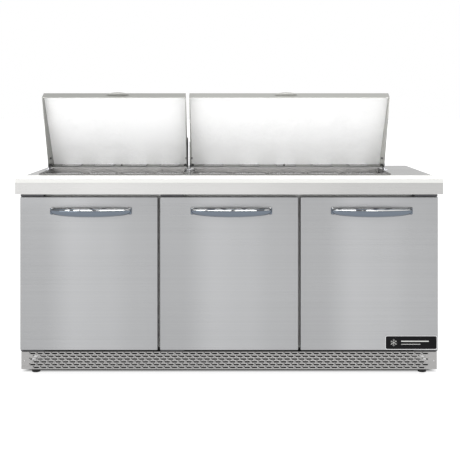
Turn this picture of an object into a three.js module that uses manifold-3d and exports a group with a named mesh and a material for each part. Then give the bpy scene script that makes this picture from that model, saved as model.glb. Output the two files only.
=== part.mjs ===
// A three-door refrigerated sandwich prep table, 1829 mm wide, with its two lids standing open.
// Millimetres: X to the right, Y to the back, Z up. The origin is on the floor under the middle.
import * as THREE from "three";
import { mergeVertices } from "three/addons/utils/BufferGeometryUtils.js";
import Module from "manifold-3d";

const wasm = await Module();
wasm.setup();

// ---------------------------------------------------------------- driving dimensions

const GAP = 0.4; // clearance left between pieces that touch
const SHEET = 2; // formed steel sheet
const OVER = 1; // how far a cutting tool runs past the face it opens
const TOP = { halfWidth: 914.4, depth: 900, height: 863.6, skirt: 65, ledgeDrop: 16.3, lip: 18 };
const FRONT = -TOP.depth / 2; // front edge of the cutting board
const BACK = TOP.depth / 2;

const BOARD = { depth: 223.6, thickness: 16, corner: 5 };
const BOARD_BACK = FRONT + BOARD.depth;

const FOOT = {
  height: 36.6, radius: 19, pad: 20, chamfer: 2, shoulder: 5, stud: 9,
  x: 854, frontY: -293, rearY: 385,
};
const BASE = {
  bottom: 37, top: 111.6, halfWidth: 905, front: -340,
  rail: 20, railHeight: 25, tray: 3, footPlate: 70, footPlateThickness: 5,
  lug: [50, 80], // heights of the lugs that the grille's end screws go into
};
const GRILLE = { bottom: 28, top: 104, halfWidth: 906, face: -361, lip: 14 };
const GRILLE_SLOTS = { rows: 6, rowPitch: 12.2, height: 6, pitch: 31.7, width: 23.6, grouped: 5, margin: 42 };

const CASE = { halfWidth: 908, bottom: 112, top: 844.6, front: -299.6, back: 440 };
const STEP = { y: 170, z: 420 }; // the machine compartment takes the rear bottom corner
const WALL = 38; // foamed wall of the liner
const FRAME = { front: -315, thickness: 15, mullionX: 305.5, mullionWidth: 70, mullionDepth: 53 };
const FRAME_OPENING = { bottom: 160, top: 745, side: 860 };
const SHELF_LEDGE = { halfWidth: 11, height: 6 };
const REAR_COVER = {
  halfWidth: 900, bottom: 115, top: 406,
  louvres: 6, louvreX: 480, louvreHalfWidth: 130, louvreHalfHeight: 5, low: 170, high: 350,
};
const INLET = {
  x: -760, z: 250, bore: 5, barrel: 11, flange: 17,
  inside: 14, outside: 7.4, chamfer: [3, 2.4],
};

const DOOR = { face: -377, depth: 40, bottom: 115, top: 781, backing: 10, seal: 9.6, sealWidth: 16 };
const DOOR_EDGES = [[-908, -310.5], [-300.5, 300.5], [310.5, 908]];
const DOOR_NAMES = ["left", "middle", "right"];
const DOOR_HINGE_SIDES = [-1, -1, 1]; // -1 hangs on its left edge, 1 on its right edge
const DOOR_PIVOT = 12; // hinge pin, in from the edge and back from the face
const PIVOT_Y = DOOR.face + DOOR_PIVOT;
const DOOR_LINER = { inset: 4, sealInset: 14 };
const PIN = { radius: 4, hole: 4.8, length: 16 };
const BRACKET = {
  inset: 2, width: 100, plate: 3, upperPlate: 8,
  clear: 1.4, nose: 2, lowerTab: 24, upperTab: 34,
};
const HANDLE = {
  width: 354, low: 696, high: 737, end: 706, reach: 40,
  shift: 10, grip: 15, ear: 24, bow: 12,
};
const BADGE = { width: 220, height: 54.6, x: 791, z: 148.3, thickness: 3, corner: 6 };

const WELLS = { left: [-853, -211], right: [-166, 725] };
const WELL = { front: -214, back: 142, wall: 4, bottom: 762, coaming: 8 };
const WELL_LEDGE = { thickness: 4, crossWidth: 9, sideWidth: 6, sideDrop: 7 };
const PAN = { rimDrop: 14, rim: 1.6, depth: 100, wall: 1.5, sideLip: 7, endLip: 11, taper: 7 };
const PAN_BAR = { overlap: 8, height: 6.4 };
const PAN_GRID = {
  left: { columns: 4, rows: [[-213.4, -37.6], [-34.4, 141.4]] },
  right: { columns: 5, rows: [[-210, -48], [-24, 138]] },
};
const ROW_NAMES = ["front", "rear"];
const RIM_TOP = TOP.height - PAN.rimDrop;
const RIM_BOTTOM = RIM_TOP - PAN.rim;

const LIDS = { left: [-871, -203.5], right: [-186, 748] };
const LID_PIVOT = { y: 135.5, z: 919.5 };
const LID_OPEN = 63; // degrees
// Closed lid seen from its right: distance in front of the pivot, height above the pivot.
// The foot of its rear wall is cut short, so that it swings over the coaming.
const LID_OUTLINE = [[357.4, -54.9], [353.8, -0.8], [-89.9, 92.5], [-31.4, -34.7], [5, -54.9]];
const LID_CORE = 14; // thickness of the insulated top panel
const LID_PULL = { x: { left: -521, right: 267 }, width: 107, reach: 11, low: -24, high: -17, clear: 2.4 };
const LOUVRE = { count: 7, pitch: 12, start: 42, width: 100, height: 4 };
const HINGE_PLATE = { thickness: 3, front: 108, back: 172, shoulder: 905, top: 1020, topInset: 20, foot: 14 };
const LID_PIN = { radius: 5, hole: 5.9, clear: 1.4, reach: 8 };

const SHELF = { bottom: STEP.z + WALL + 2 * GAP, wire: 6, bar: 4, front: -285, back: 300, wires: 8 };
const SHELF_SPANS = [[-855, -348], [-263, 263], [348, 855]];

const EVAPORATOR = { halfWidth: 300, front: 205, back: 397, bottom: 560, top: 790 };
const EVAPORATOR_FAN = { z: 672, mouth: 86, hubRadius: 18, hubLength: 22, blades: 4 };
const EVAPORATOR_MOTOR = { front: 239, back: 267, radius: 28 };
const EVAPORATOR_COIL = { halfWidth: 270, front: 325, back: 385, lift: 15, slots: 18 };
const CONDENSER = {
  left: -420, right: -300, front: 215, back: 425, bottom: 45, top: 360,
  coil: 60, slots: 14,
};
const CONDENSER_FAN = { mouth: 94, hubRadius: 20, hubLength: 22, blades: 5 };
const CONDENSER_MOTOR = { left: -355.6, right: -326, radius: 30 };
const FAN = { tipClear: 6, bladeWidth: 44, bladeThickness: 2, bladePitch: 24 };
const MOTOR_BAR = { depth: 6, halfHeight: 8 };
const COIL_SLOT = { halfWidth: 3.5, margin: 8, endPlate: 10 };
const COMPRESSOR = {
  y: 315, height: 204,
  // (radius, height) of the foot plate and the can; the shoulder is measured down from the top
  foot: [[98, 0], [98, 4], [84, 10]], shoulder: [[84, 54], [70, 20], [40, 5]],
};
const PIPE = { x: 60, y: 345, radius: 6, holeRadius: 10, rise: 40, bend: 70, straight: [-30, 60] };
const CONTROLLER = { width: 38, y: [-240, -150], z: [690, 760] };

const FINISHES = {
  brushedSteel: { color: 0xb8b9bb, roughness: 0.36, metalness: 1 },
  topSteel: { color: 0xcfcdc8, roughness: 0.3, metalness: 1 },
  polishedSteel: { color: 0xe6e7e9, roughness: 0.12, metalness: 1 },
  chrome: { color: 0xd9dce2, roughness: 0.06, metalness: 1 },
  galvanised: { color: 0x9a9c9c, roughness: 0.5, metalness: 0.9 },
  aluminium: { color: 0xc3c5c7, roughness: 0.45, metalness: 0.9 },
  copper: { color: 0xb26b45, roughness: 0.35, metalness: 1 },
  whiteBoard: { color: 0xf3f3ee, roughness: 0.5, metalness: 0 },
  foamLiner: { color: 0xdfe0df, roughness: 0.55, metalness: 0 },
  greyRubber: { color: 0x6d6e70, roughness: 0.8, metalness: 0 },
  blackRubber: { color: 0x151515, roughness: 0.75, metalness: 0 },
  blackPlastic: { color: 0x141414, roughness: 0.4, metalness: 0 },
  blackPaint: { color: 0x1d1e20, roughness: 0.5, metalness: 0.2 },
  shelfCoating: { color: 0xe8e9e6, roughness: 0.45, metalness: 0 },
};

// ---------------------------------------------------------------- shapes and solids

function box([x0, x1], [y0, y1], [z0, z1]) {
  const block = new THREE.BoxGeometry();
  const points = block.attributes.position;
  for (let i = 0; i < points.count; i += 1) {
    points.setXYZ(
      i,
      points.getX(i) < 0 ? x0 : x1,
      points.getY(i) < 0 ? y0 : y1,
      points.getZ(i) < 0 ? z0 : z1,
    );
  }
  return block;
}

function shapeOf(outline) {
  if (outline instanceof THREE.Shape) return outline;
  return new THREE.Shape(outline.map(([a, b]) => new THREE.Vector2(a, b)));
}

// An outline of (X, Y) points run along Z, its end faces set exactly.
function alongZ(outline, [z0, z1], curveSegments = 6) {
  const options = { depth: 1, bevelEnabled: false, curveSegments };
  const geometry = new THREE.ExtrudeGeometry(shapeOf(outline), options);
  const points = geometry.attributes.position;
  for (let i = 0; i < points.count; i += 1) points.setZ(i, points.getZ(i) < 0.5 ? z0 : z1);
  return geometry;
}

// Turns a geometry so that its x, y and z run along the three directions given.
function turned(geometry, ...directions) {
  const basis = directions.map((direction) => new THREE.Vector3(...direction));
  return geometry.applyMatrix4(new THREE.Matrix4().makeBasis(...basis));
}

// An outline of (Y, Z) points run along X.
function alongX(outline, x) {
  return turned(alongZ(outline, x), [0, 1, 0], [0, 0, 1], [1, 0, 0]);
}

// An outline of (X, Z) points run along Y.
function alongY(outline, [y0, y1], curveSegments) {
  return turned(alongZ(outline, [-y1, -y0], curveSegments), [1, 0, 0], [0, 0, 1], [0, -1, 0]);
}

function roundedRectangle([a0, a1], [b0, b1], radius) {
  const shape = new THREE.Shape();
  shape.absarc(a1 - radius, b1 - radius, radius, 0, Math.PI / 2);
  shape.absarc(a0 + radius, b1 - radius, radius, Math.PI / 2, Math.PI);
  shape.absarc(a0 + radius, b0 + radius, radius, Math.PI, 1.5 * Math.PI);
  shape.absarc(a1 - radius, b0 + radius, radius, 1.5 * Math.PI, 2 * Math.PI);
  return shape;
}

// A round bar from one end to the other, both given as [x, y, z] and level with an axis.
function rod(from, to, radius, sides = 16) {
  const a = new THREE.Vector3(...from);
  const b = new THREE.Vector3(...to);
  const bar = new THREE.CylinderGeometry(radius, radius, a.distanceTo(b), sides);
  const turn = new THREE.Quaternion().setFromUnitVectors(
    new THREE.Vector3(0, 1, 0),
    b.clone().sub(a).normalize(),
  );
  const middle = a.add(b).multiplyScalar(0.5);
  return bar.applyQuaternion(turn).translate(middle.x, middle.y, middle.z);
}

function solidOf(shape) {
  if (!shape.isBufferGeometry) return shape;
  const bare = shape.clone();
  bare.deleteAttribute("normal");
  bare.deleteAttribute("uv");
  const merged = mergeVertices(bare, 1e-4);
  const vertProperties = merged.attributes.position.array;
  const triVerts = new Uint32Array(merged.index.array);
  return new wasm.Manifold(new wasm.Mesh({ numProp: 3, vertProperties, triVerts }));
}

function geometryOf(solid) {
  const mesh = solid.getMesh();
  const geometry = new THREE.BufferGeometry();
  geometry.setAttribute("position", new THREE.BufferAttribute(mesh.vertProperties, 3));
  geometry.setIndex(new THREE.BufferAttribute(mesh.triVerts, 1));
  geometry.computeVertexNormals();
  return geometry;
}

function join(...shapes) {
  return shapes.map(solidOf).reduce((whole, piece) => whole.add(piece));
}

function cut(shape, ...tools) {
  return tools.map(solidOf).reduce((rest, tool) => rest.subtract(tool), solidOf(shape));
}

function part(name, shape, finish) {
  const geometry = shape.isBufferGeometry ? shape : geometryOf(shape);
  const mesh = new THREE.Mesh(geometry, new THREE.MeshStandardMaterial(FINISHES[finish]));
  mesh.name = name;
  return mesh;
}

const grow = ([low, high], by) => [low - by, high + by];
const both = (halfWidth) => [-halfWidth, halfWidth];
const spread = (count, from, to) =>
  Array.from({ length: count }, (_, i) => from + ((to - from) * (i + 0.5)) / count);

// ---------------------------------------------------------------- base, feet and grille

function feet() {
  const { radius, height, pad, chamfer, shoulder, stud, x, frontY, rearY } = FOOT;
  const outline = [
    [0, 0], [radius - chamfer, 0], [radius, chamfer], [radius, pad], [radius - shoulder, pad + shoulder - 1],
    [stud, pad + shoulder], [stud, height], [0, height],
  ];
  const places = [["front_left", -x, frontY], ["front_right", x, frontY],
    ["rear_left", -x, rearY], ["rear_right", x, rearY]];
  return places.map(([corner, footX, footY]) => {
    const geometry = new THREE.LatheGeometry(outline.map(([r, z]) => new THREE.Vector2(r, z)), 20);
    const foot = part(`foot_${corner}`, geometry.rotateX(Math.PI / 2), "blackRubber");
    foot.position.set(footX, footY, 0);
    return foot;
  });
}

// Side rails, a front rail under the doors, and a tray under the machine compartment.
function baseFrame() {
  const { bottom, top, halfWidth, front, rail, railHeight, tray, footPlate, footPlateThickness, lug } = BASE;
  const inside = halfWidth - rail;
  const height = [bottom + 1, top];
  const lugY = [GRILLE.face + GRILLE.lip + GAP, front + 2];
  const footPlateY = grow([FOOT.frontY, FOOT.frontY], footPlate / 2 + 5);
  const footPlateZ = [bottom, bottom + footPlateThickness];
  const solid = join(
    box([-halfWidth, -inside], [front + 1, CASE.back], height),
    box([inside, halfWidth], [front + 1, CASE.back], height),
    box([1 - halfWidth, 1 - inside], lugY, lug),
    box([inside - 1, halfWidth - 1], lugY, lug),
    box(both(inside + 1), [front, FRAME.front + FRAME.thickness], [top - 1 - railHeight, top - 1]),
    box(both(inside + 1), [STEP.y + 20, CASE.back - 1], [bottom, bottom + tray]),
    box([-inside - 1, -inside + footPlate], footPlateY, footPlateZ),
    box([inside - footPlate, inside + 1], footPlateY, footPlateZ),
  );
  return part("base_frame", solid, "galvanised");
}

// Staggered rows of slots; each opening here stands for a run of neighbouring slots.
function kickGrille() {
  const { bottom, top, halfWidth, face, lip } = GRILLE;
  const { rows, rowPitch, height, pitch, width, grouped, margin } = GRILLE_SLOTS;
  const middle = (bottom + top) / 2;
  const y = [face - OVER, face + SHEET + OVER];
  const openings = [];
  for (let row = 0; row < rows; row += 1) {
    const z = middle + (row - (rows - 1) / 2) * rowPitch;
    const reach = halfWidth - margin - (row % 2) * (pitch / 2);
    const count = Math.floor((2 * reach) / (pitch * grouped));
    const halfRun = (2 * reach / count - (pitch - width)) / 2;
    for (const x of spread(count, -reach, reach)) {
      openings.push(box(grow([x, x], halfRun), y, grow([z, z], height / 2)));
    }
  }
  const shell = cut(
    box(both(halfWidth), [face, face + lip], [bottom, top]),
    box(both(halfWidth - SHEET), [face + SHEET, face + lip + OVER], [bottom + SHEET, top - SHEET]),
  );
  return part("kick_grille", cut(shell, ...openings), "brushedSteel");
}

// ---------------------------------------------------------------- cabinet

// The (Y, Z) outline of the cabinet body, drawn in from the case's outside by inset.
function bodyOutline(inset, front, top) {
  return [
    [front, CASE.bottom + inset],
    [STEP.y - inset, CASE.bottom + inset],
    [STEP.y - inset, STEP.z + inset - SHEET],
    [CASE.back - inset, STEP.z + inset - SHEET],
    [CASE.back - inset, top],
    [front, top],
  ];
}

// The hole for the two wells, all the way through the top of the cabinet.
function wellMouth() {
  const x = [WELLS.left[0] - WELL.wall, WELLS.right[1] + WELL.wall];
  const y = [WELL.front - WELL.wall, WELL.back + WELL.wall];
  return box(grow(x, GAP), grow(y, GAP), [WELL.bottom, TOP.height + OVER]);
}

function pipeHole() {
  const { x, y, holeRadius } = PIPE;
  return rod([x, y, STEP.z - WALL], [x, y, STEP.z + 2 * WALL], holeRadius);
}

// Outer sheet of the sides, bottom and back, stepped round the machine compartment.
function outerCase() {
  const { halfWidth, front, back, bottom, top } = CASE;
  const inside = both(halfWidth - SHEET);
  const block = box(both(halfWidth), [front, back], [bottom, top]);
  const coldSpace = alongX(bodyOutline(SHEET, front - OVER, top + OVER), inside);
  const machineSpace = box(inside, [STEP.y, back + OVER], [bottom - OVER, STEP.z - SHEET]);
  return part("outer_case", cut(block, coldSpace, machineSpace, pipeHole()), "brushedSteel");
}

// Liner with its foamed-in insulation: what stands between the case and the cold space.
function innerLiner() {
  const outside = SHEET + GAP;
  const inside = outside + WALL;
  const ceiling = CASE.top - WALL;
  const block = alongX(bodyOutline(outside, CASE.front, CASE.top), both(CASE.halfWidth - outside));
  const space = alongX(bodyOutline(inside, CASE.front - OVER, ceiling), both(CASE.halfWidth - inside));
  return part("inner_liner", cut(block, space, wellMouth(), pipeHole()), "foamLiner");
}

// Face frame with two mullions; small ledges behind it carry the front of the shelves.
function frontFrame() {
  const { front, thickness, mullionX, mullionWidth, mullionDepth } = FRAME;
  const { bottom, top, side } = FRAME_OPENING;
  const plate = box(both(CASE.halfWidth), [front, front + thickness], [CASE.bottom, CASE.top]);
  const inner = mullionX - mullionWidth / 2;
  const outer = mullionX + mullionWidth / 2;
  const openings = [[-side, -outer], [-inner, inner], [outer, side]].map((x) =>
    box(x, [front - OVER, front + thickness + OVER], [bottom, top]));
  const floor = CASE.bottom + SHEET + GAP + WALL + GAP;
  const ceiling = CASE.top - WALL - GAP;
  const mullions = [[-outer, -inner], [inner, outer]].map((x) =>
    box(x, [front + 1, front + mullionDepth], [floor, ceiling]));
  const ledgeY = [front + 2, front + mullionDepth - 1];
  const ledgeZ = [SHELF.bottom - GAP - SHELF_LEDGE.height, SHELF.bottom - GAP];
  const ledges = SHELF_SPANS.flat().map((x) => box(grow([x, x], SHELF_LEDGE.halfWidth), ledgeY, ledgeZ));
  return part("front_frame", join(cut(plate, ...openings), ...mullions, ...ledges), "brushedSteel");
}

// One formed sheet: nosing, ledge under the cutting board, deck, side and back skirts.
function worktop() {
  const { halfWidth, height, skirt, ledgeDrop, lip } = TOP;
  const low = height - skirt;
  const ledge = height - ledgeDrop;
  const step = BOARD_BACK + GAP;
  const outside = [[FRONT, low], [BACK, low], [BACK, height], [step, height], [step, ledge], [FRONT, ledge]];
  const inside = [
    [FRONT + SHEET, low - OVER], [BACK - SHEET, low - OVER], [BACK - SHEET, height - SHEET],
    [step + SHEET, height - SHEET], [step + SHEET, ledge - SHEET], [FRONT + SHEET, ledge - SHEET],
  ];
  const shell = cut(alongX(outside, both(halfWidth)), alongX(inside, both(halfWidth - SHEET)));
  const nosingLip = box(both(halfWidth - 1), [FRONT + 1, FRONT + lip], [low + 0.5, low + 0.5 + SHEET]);
  const wellY = grow([WELL.front, WELL.back], WELL.wall + GAP);
  const openings = Object.values(WELLS).map((x) =>
    box(grow(x, WELL.wall + GAP), wellY, [ledge - SHEET - OVER, height + OVER]));
  return part("worktop", cut(join(shell, nosingLip), ...openings), "topSteel");
}

function cuttingBoard() {
  const outline = roundedRectangle(both(TOP.halfWidth), [FRONT, BOARD_BACK], BOARD.corner);
  const top = TOP.height;
  return part("cutting_board", alongZ(outline, [top - BOARD.thickness, top], 4), "whiteBoard");
}

// Panel that closes the machine compartment at the back, with two banks of louvres.
function rearCover() {
  const { halfWidth, bottom, top, low, high } = REAR_COVER;
  const { louvres, louvreX, louvreHalfWidth, louvreHalfHeight } = REAR_COVER;
  const y = [CASE.back + GAP, CASE.back + GAP + SHEET];
  const through = grow(y, OVER);
  const slots = [-louvreX, louvreX].flatMap((x) => spread(louvres, low, high).map((z) =>
    box(grow([x, x], louvreHalfWidth), through, grow([z, z], louvreHalfHeight))));
  const plate = box(both(halfWidth), y, [bottom, top]);
  const inletHole = rod([INLET.x, through[0], INLET.z], [INLET.x, through[1], INLET.z], INLET.barrel + GAP);
  return part("rear_cover", cut(plate, ...slots, inletHole), "galvanised");
}

// Bushing that the supply lead would come out of.
function powerInlet() {
  const { bore, barrel, flange, inside, outside, chamfer } = INLET;
  const sheetBack = GAP + SHEET;
  const outline = [[bore, -inside], [barrel, -inside], [barrel, sheetBack], [flange, sheetBack],
    [flange, outside - chamfer[1]], [flange - chamfer[0], outside], [bore, outside], [bore, -inside]];
  const ring = new THREE.LatheGeometry(outline.map(([r, h]) => new THREE.Vector2(r, h)), 20);
  const inlet = part("power_inlet", ring, "blackPlastic");
  inlet.position.set(INLET.x, CASE.back + GAP + GAP, INLET.z);
  return inlet;
}

// ---------------------------------------------------------------- wells and pans

// Two collars joined by a foamed bridge; inner ledges carry the pans and the bars.
function panWell() {
  const { front, back, wall, bottom, coaming } = WELL;
  const top = TOP.height + coaming;
  const { thickness, crossWidth, sideWidth, sideDrop } = WELL_LEDGE;
  const crossTop = RIM_BOTTOM - GAP;
  const sideTop = crossTop - sideDrop;
  const collars = Object.values(WELLS).map((x) => {
    const outside = box(grow(x, wall), grow([front, back], wall), [bottom, top]);
    const collar = cut(outside, box(x, [front, back], [bottom - OVER, top + OVER]));
    const crossLedges = [[front - 1, front + crossWidth], [back - crossWidth, back + 1]].map((y) =>
      box(grow(x, 1), y, [crossTop - thickness, crossTop]));
    const sideLedges = [[x[0] - 1, x[0] + sideWidth], [x[1] - sideWidth, x[1] + 1]].map((sideX) =>
      box(sideX, grow([front, back], 1), [sideTop - thickness, sideTop]));
    return join(collar, ...crossLedges, ...sideLedges);
  });
  const bridge = box(
    [WELLS.left[1] + 1, WELLS.right[0] - 1],
    grow([front, back], wall),
    [CASE.top - WALL + 1, CASE.top - 1],
  );
  return part("pan_well", join(...collars, bridge), "topSteel");
}

// The bar between the two rows of pans, lying on the side ledges.
function panBar(side) {
  const { rows } = PAN_GRID[side];
  const y = grow([rows[0][1], rows[1][0]], PAN_BAR.overlap);
  const top = RIM_BOTTOM - GAP;
  const bar = box(grow(WELLS[side], -GAP), y, [top - PAN_BAR.height, top]);
  return part(`pan_bar_${side}`, bar, "topSteel");
}

// A box whose bottom is drawn in by taper on every side.
function taperedBox([x0, x1], [y0, y1], [z0, z1], taper) {
  const block = box([x0, x1], [y0, y1], [z0, z1]);
  const points = block.attributes.position;
  const middleX = (x0 + x1) / 2;
  const middleY = (y0 + y1) / 2;
  for (let i = 0; i < points.count; i += 1) {
    if (points.getZ(i) > (z0 + z1) / 2) continue;
    points.setX(i, points.getX(i) - Math.sign(points.getX(i) - middleX) * taper);
    points.setY(i, points.getY(i) - Math.sign(points.getY(i) - middleY) * taper);
  }
  return block;
}

// One row of sixth-size pans, rim to rim.
function panRow(side, row) {
  const { columns, rows } = PAN_GRID[side];
  const [x0, x1] = grow(WELLS[side], -1);
  const pitch = (x1 - x0) / columns;
  const rims = box([x0, x1], rows[row], [RIM_BOTTOM, RIM_TOP]);
  const bodies = [];
  const hollows = [];
  for (let column = 0; column < columns; column += 1) {
    const x = [x0 + column * pitch + PAN.sideLip, x0 + (column + 1) * pitch - PAN.sideLip];
    const y = grow(rows[row], -PAN.endLip);
    bodies.push(taperedBox(x, y, [RIM_TOP - PAN.depth, RIM_TOP - 0.1], PAN.taper));
    const inner = [grow(x, -PAN.wall), grow(y, -PAN.wall)];
    hollows.push(taperedBox(...inner, [RIM_TOP - PAN.depth + PAN.wall, RIM_TOP + OVER], PAN.taper));
  }
  const solid = cut(join(rims, ...bodies), ...hollows);
  return part(`pans_${side}_${ROW_NAMES[row]}`, solid, "polishedSteel");
}

// ---------------------------------------------------------------- lids

// Moves every edge of a closed outline inwards by its own distance; outlines run clockwise here.
function insetOutline(points, distances) {
  const lines = points.map(([ax, ay], i) => {
    const [bx, by] = points[(i + 1) % points.length];
    const length = Math.hypot(bx - ax, by - ay);
    const [dx, dy] = [(bx - ax) / length, (by - ay) / length];
    return { x: ax - dy * distances[i], y: ay + dx * distances[i], dx, dy };
  });
  return lines.map((line, i) => {
    const before = lines[(i + lines.length - 1) % lines.length];
    const cross = before.dx * line.dy - before.dy * line.dx;
    const t = ((line.x - before.x) * line.dy - (line.y - before.y) * line.dx) / cross;
    return [before.x + before.dx * t, before.y + before.dy * t];
  });
}

// Lid outlines are (forward, up) from the pivot; forward is -Y.
const lidPrism = (outline, x) => alongX(outline.map(([forward, up]) => [-forward, up]), x);

// Rows of slots through the sloping rear wall, one bank behind each column of pans.
function lidLouvres(side) {
  const [foot, crest] = [LID_OUTLINE[3], LID_OUTLINE[2]];
  const length = Math.hypot(crest[0] - foot[0], crest[1] - foot[1]);
  const along = [(crest[0] - foot[0]) / length, (crest[1] - foot[1]) / length];
  const lean = Math.atan2(-along[0], along[1]);
  const [x0, x1] = WELLS[side];
  const banks = spread(PAN_GRID[side].columns, x0, x1);
  return banks.flatMap((x) => Array.from({ length: LOUVRE.count }, (_, i) => {
    const distance = LOUVRE.start + i * LOUVRE.pitch;
    const slot = new THREE.BoxGeometry(LOUVRE.width, SHEET * 4, LOUVRE.height).rotateX(-lean);
    const [forward, up] = [foot[0] + along[0] * distance, foot[1] + along[1] * distance];
    return slot.translate(x, -forward, up);
  }));
}

function lidShell(side) {
  const x = LIDS[side];
  const inner = insetOutline(LID_OUTLINE, [SHEET, SHEET, SHEET, -OVER, -OVER]);
  const pinHole = rod([x[0] - OVER, 0, 0], [x[1] + OVER, 0, 0], LID_PIN.hole, 20);
  const hood = cut(lidPrism(LID_OUTLINE, x), lidPrism(inner, grow(x, -SHEET)));
  return part(`lid_${side}_shell`, cut(hood, pinHole, ...lidLouvres(side)), "brushedSteel");
}

// Inner panel: a shallow tray that closes the insulated top of the lid.
function lidLiner(side) {
  const clear = SHEET + GAP;
  const below = LID_CORE + clear;
  const slab = (top, bottom, edge) => {
    const outer = insetOutline(LID_OUTLINE, [edge, top, edge, 0, 0]);
    const belowIt = insetOutline(LID_OUTLINE, [edge, bottom, edge, 0, 0]);
    return [outer[1], outer[2], belowIt[2], belowIt[1]];
  };
  const x = grow(LIDS[side], -clear);
  const tray = lidPrism(slab(clear, below, clear), x);
  const hollow = lidPrism(slab(clear - 1, below - SHEET, clear + SHEET), grow(x, -SHEET));
  return part(`lid_${side}_liner`, cut(tray, hollow), "polishedSteel");
}

// A half-moon pull on the front lip.
function lidPull(side) {
  const { width, reach, low, high } = LID_PULL;
  const radius = (width * width) / (8 * reach) + reach / 2;
  const half = Math.asin(width / 2 / radius);
  const segment = new THREE.Shape();
  segment.absarc(0, radius - reach, radius, -Math.PI / 2 - half, -Math.PI / 2 + half);
  const lipFace = LID_OUTLINE[1][0] + LID_PULL.clear;
  const pull = alongZ(segment, [low, high], 16).translate(LID_PULL.x[side], -lipFace, 0);
  return part(`lid_${side}_pull`, pull, "chrome");
}

function lid(side) {
  const group = new THREE.Group();
  group.add(lidShell(side), lidLiner(side), lidPull(side));
  group.position.set(0, LID_PIVOT.y, LID_PIVOT.z);
  group.rotation.x = THREE.MathUtils.degToRad(-LID_OPEN);
  return group;
}

// Upright plates beside the lids, each with a stub pin through the lid's cheek.
function lidHinge(name, plates, footX) {
  const { thickness, front, back, shoulder, top, topInset } = HINGE_PLATE;
  const { y, z } = LID_PIVOT;
  const low = TOP.height + GAP;
  const outline = [[front, low], [back, low], [back, shoulder], [back - topInset, top],
    [front + topInset, top], [front, shoulder]];
  const pieces = plates.flatMap(({ x, pinTo }) => [
    alongX(outline, x),
    rod([(x[0] + x[1]) / 2, y, z], [pinTo, y, z], LID_PIN.radius, 20),
  ]);
  const foot = box(footX, [front, back], [low, low + thickness]);
  return part(`lid_hinge_${name}`, join(...pieces, foot), "galvanised");
}

function lidHinges() {
  const { thickness, foot } = HINGE_PLATE;
  const { left, right } = LIDS;
  const beside = (edge, outward) => {
    const near = edge + outward * LID_PIN.clear;
    const far = near + outward * thickness;
    return { x: [Math.min(near, far), Math.max(near, far)], pinTo: edge - outward * LID_PIN.reach };
  };
  const outerLeft = beside(left[0], -1);
  const outerRight = beside(right[1], 1);
  const innerLeft = beside(left[1], 1);
  const innerRight = beside(right[0], -1);
  return [
    lidHinge("left", [outerLeft], [outerLeft.x[0] - foot, outerLeft.x[1]]),
    lidHinge("centre", [innerLeft, innerRight], [innerLeft.x[0], innerRight.x[1]]),
    lidHinge("right", [outerRight], [outerRight.x[0], outerRight.x[1] + foot]),
  ];
}

// ---------------------------------------------------------------- doors

// Where the hinge pin of a door stands, from the left and right edges of the door.
function pivotX([left, right], hingeSide) {
  return hingeSide < 0 ? left + DOOR_PIVOT : right - DOOR_PIVOT;
}

// A sheet skin, its foamed core with the inner panel, the seal behind them, and the handle.
function door(index) {
  const x = DOOR_EDGES[index];
  const name = DOOR_NAMES[index];
  const { face, depth, bottom, top, backing, seal, sealWidth } = DOOR;
  const { inset, sealInset } = DOOR_LINER;
  const z = [bottom, top];
  const back = face + depth;
  const pinX = pivotX(x, DOOR_HINGE_SIDES[index]);
  const holeDepth = PIN.length + 4;
  const pinHoles = [[bottom - OVER, bottom + holeDepth], [top - holeDepth, top + OVER]].map(([z0, z1]) =>
    rod([pinX, PIVOT_Y, z0], [pinX, PIVOT_Y, z1], PIN.hole));

  const inside = SHEET + GAP;
  const skin = cut(
    box(x, [face, back], z),
    box(grow(x, -SHEET), [face + SHEET, back + OVER], grow(z, -SHEET)),
    ...pinHoles,
  );
  const plateFront = back + GAP;
  const plateBack = plateFront + backing - GAP;
  const core = cut(
    join(
      box(grow(x, -inside), [face + inside, plateBack - 1], grow(z, -inside)),
      box(grow(x, -inset), [plateFront, plateBack], grow(z, -inset)),
    ),
    ...pinHoles,
  );
  const sealY = [plateBack + GAP, plateBack + GAP + seal];
  const sealHole = sealInset + sealWidth;
  const gasket = cut(
    box(grow(x, -sealInset), sealY, grow(z, -sealInset)),
    box(grow(x, -sealHole), grow(sealY, OVER), grow(z, -sealHole)),
  );
  return [
    part(`door_${name}_skin`, skin, "brushedSteel"),
    part(`door_${name}_liner`, core, "foamLiner"),
    part(`door_${name}_gasket`, gasket, "greyRubber"),
    doorHandle(name, (x[0] + x[1]) / 2 + HANDLE.shift),
  ];
}

// A bow handle: crescent seen from the front, a shallow arch seen from above.
function doorHandle(name, middleX) {
  const { width, low, high, end, reach, grip, ear, bow } = HANDLE;
  const half = width / 2;
  const arch = new THREE.Shape();
  arch.absellipse(0, 0, half, reach, Math.PI, 2 * Math.PI);
  const space = new THREE.Shape();
  space.absellipse(0, OVER, half - ear, reach - grip + OVER, Math.PI, 2 * Math.PI);
  const z = [low - OVER, high + OVER];
  const plan = cut(alongZ(arch, z, 14), alongZ(space, grow(z, OVER), 14));
  const front = new THREE.Shape();
  front.moveTo(-half, end);
  front.quadraticCurveTo(0, 2 * low - end, half, end);
  front.lineTo(half, high);
  front.quadraticCurveTo(0, high - bow, -half, high);
  const handle = plan.intersect(solidOf(alongY(front, [-reach - OVER, OVER], 8)));
  const mesh = part(`door_${name}_handle`, handle, "chrome");
  mesh.position.set(middleX, DOOR.face - GAP, 0);
  return mesh;
}

function badge() {
  const { width, height, x, z, thickness, corner } = BADGE;
  const outline = roundedRectangle(grow([x, x], width / 2), grow([z, z], height / 2), corner);
  const y = [DOOR.face - GAP - thickness, DOOR.face - GAP];
  return part("badge", alongY(outline, y, 4), "blackPlastic");
}

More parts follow.
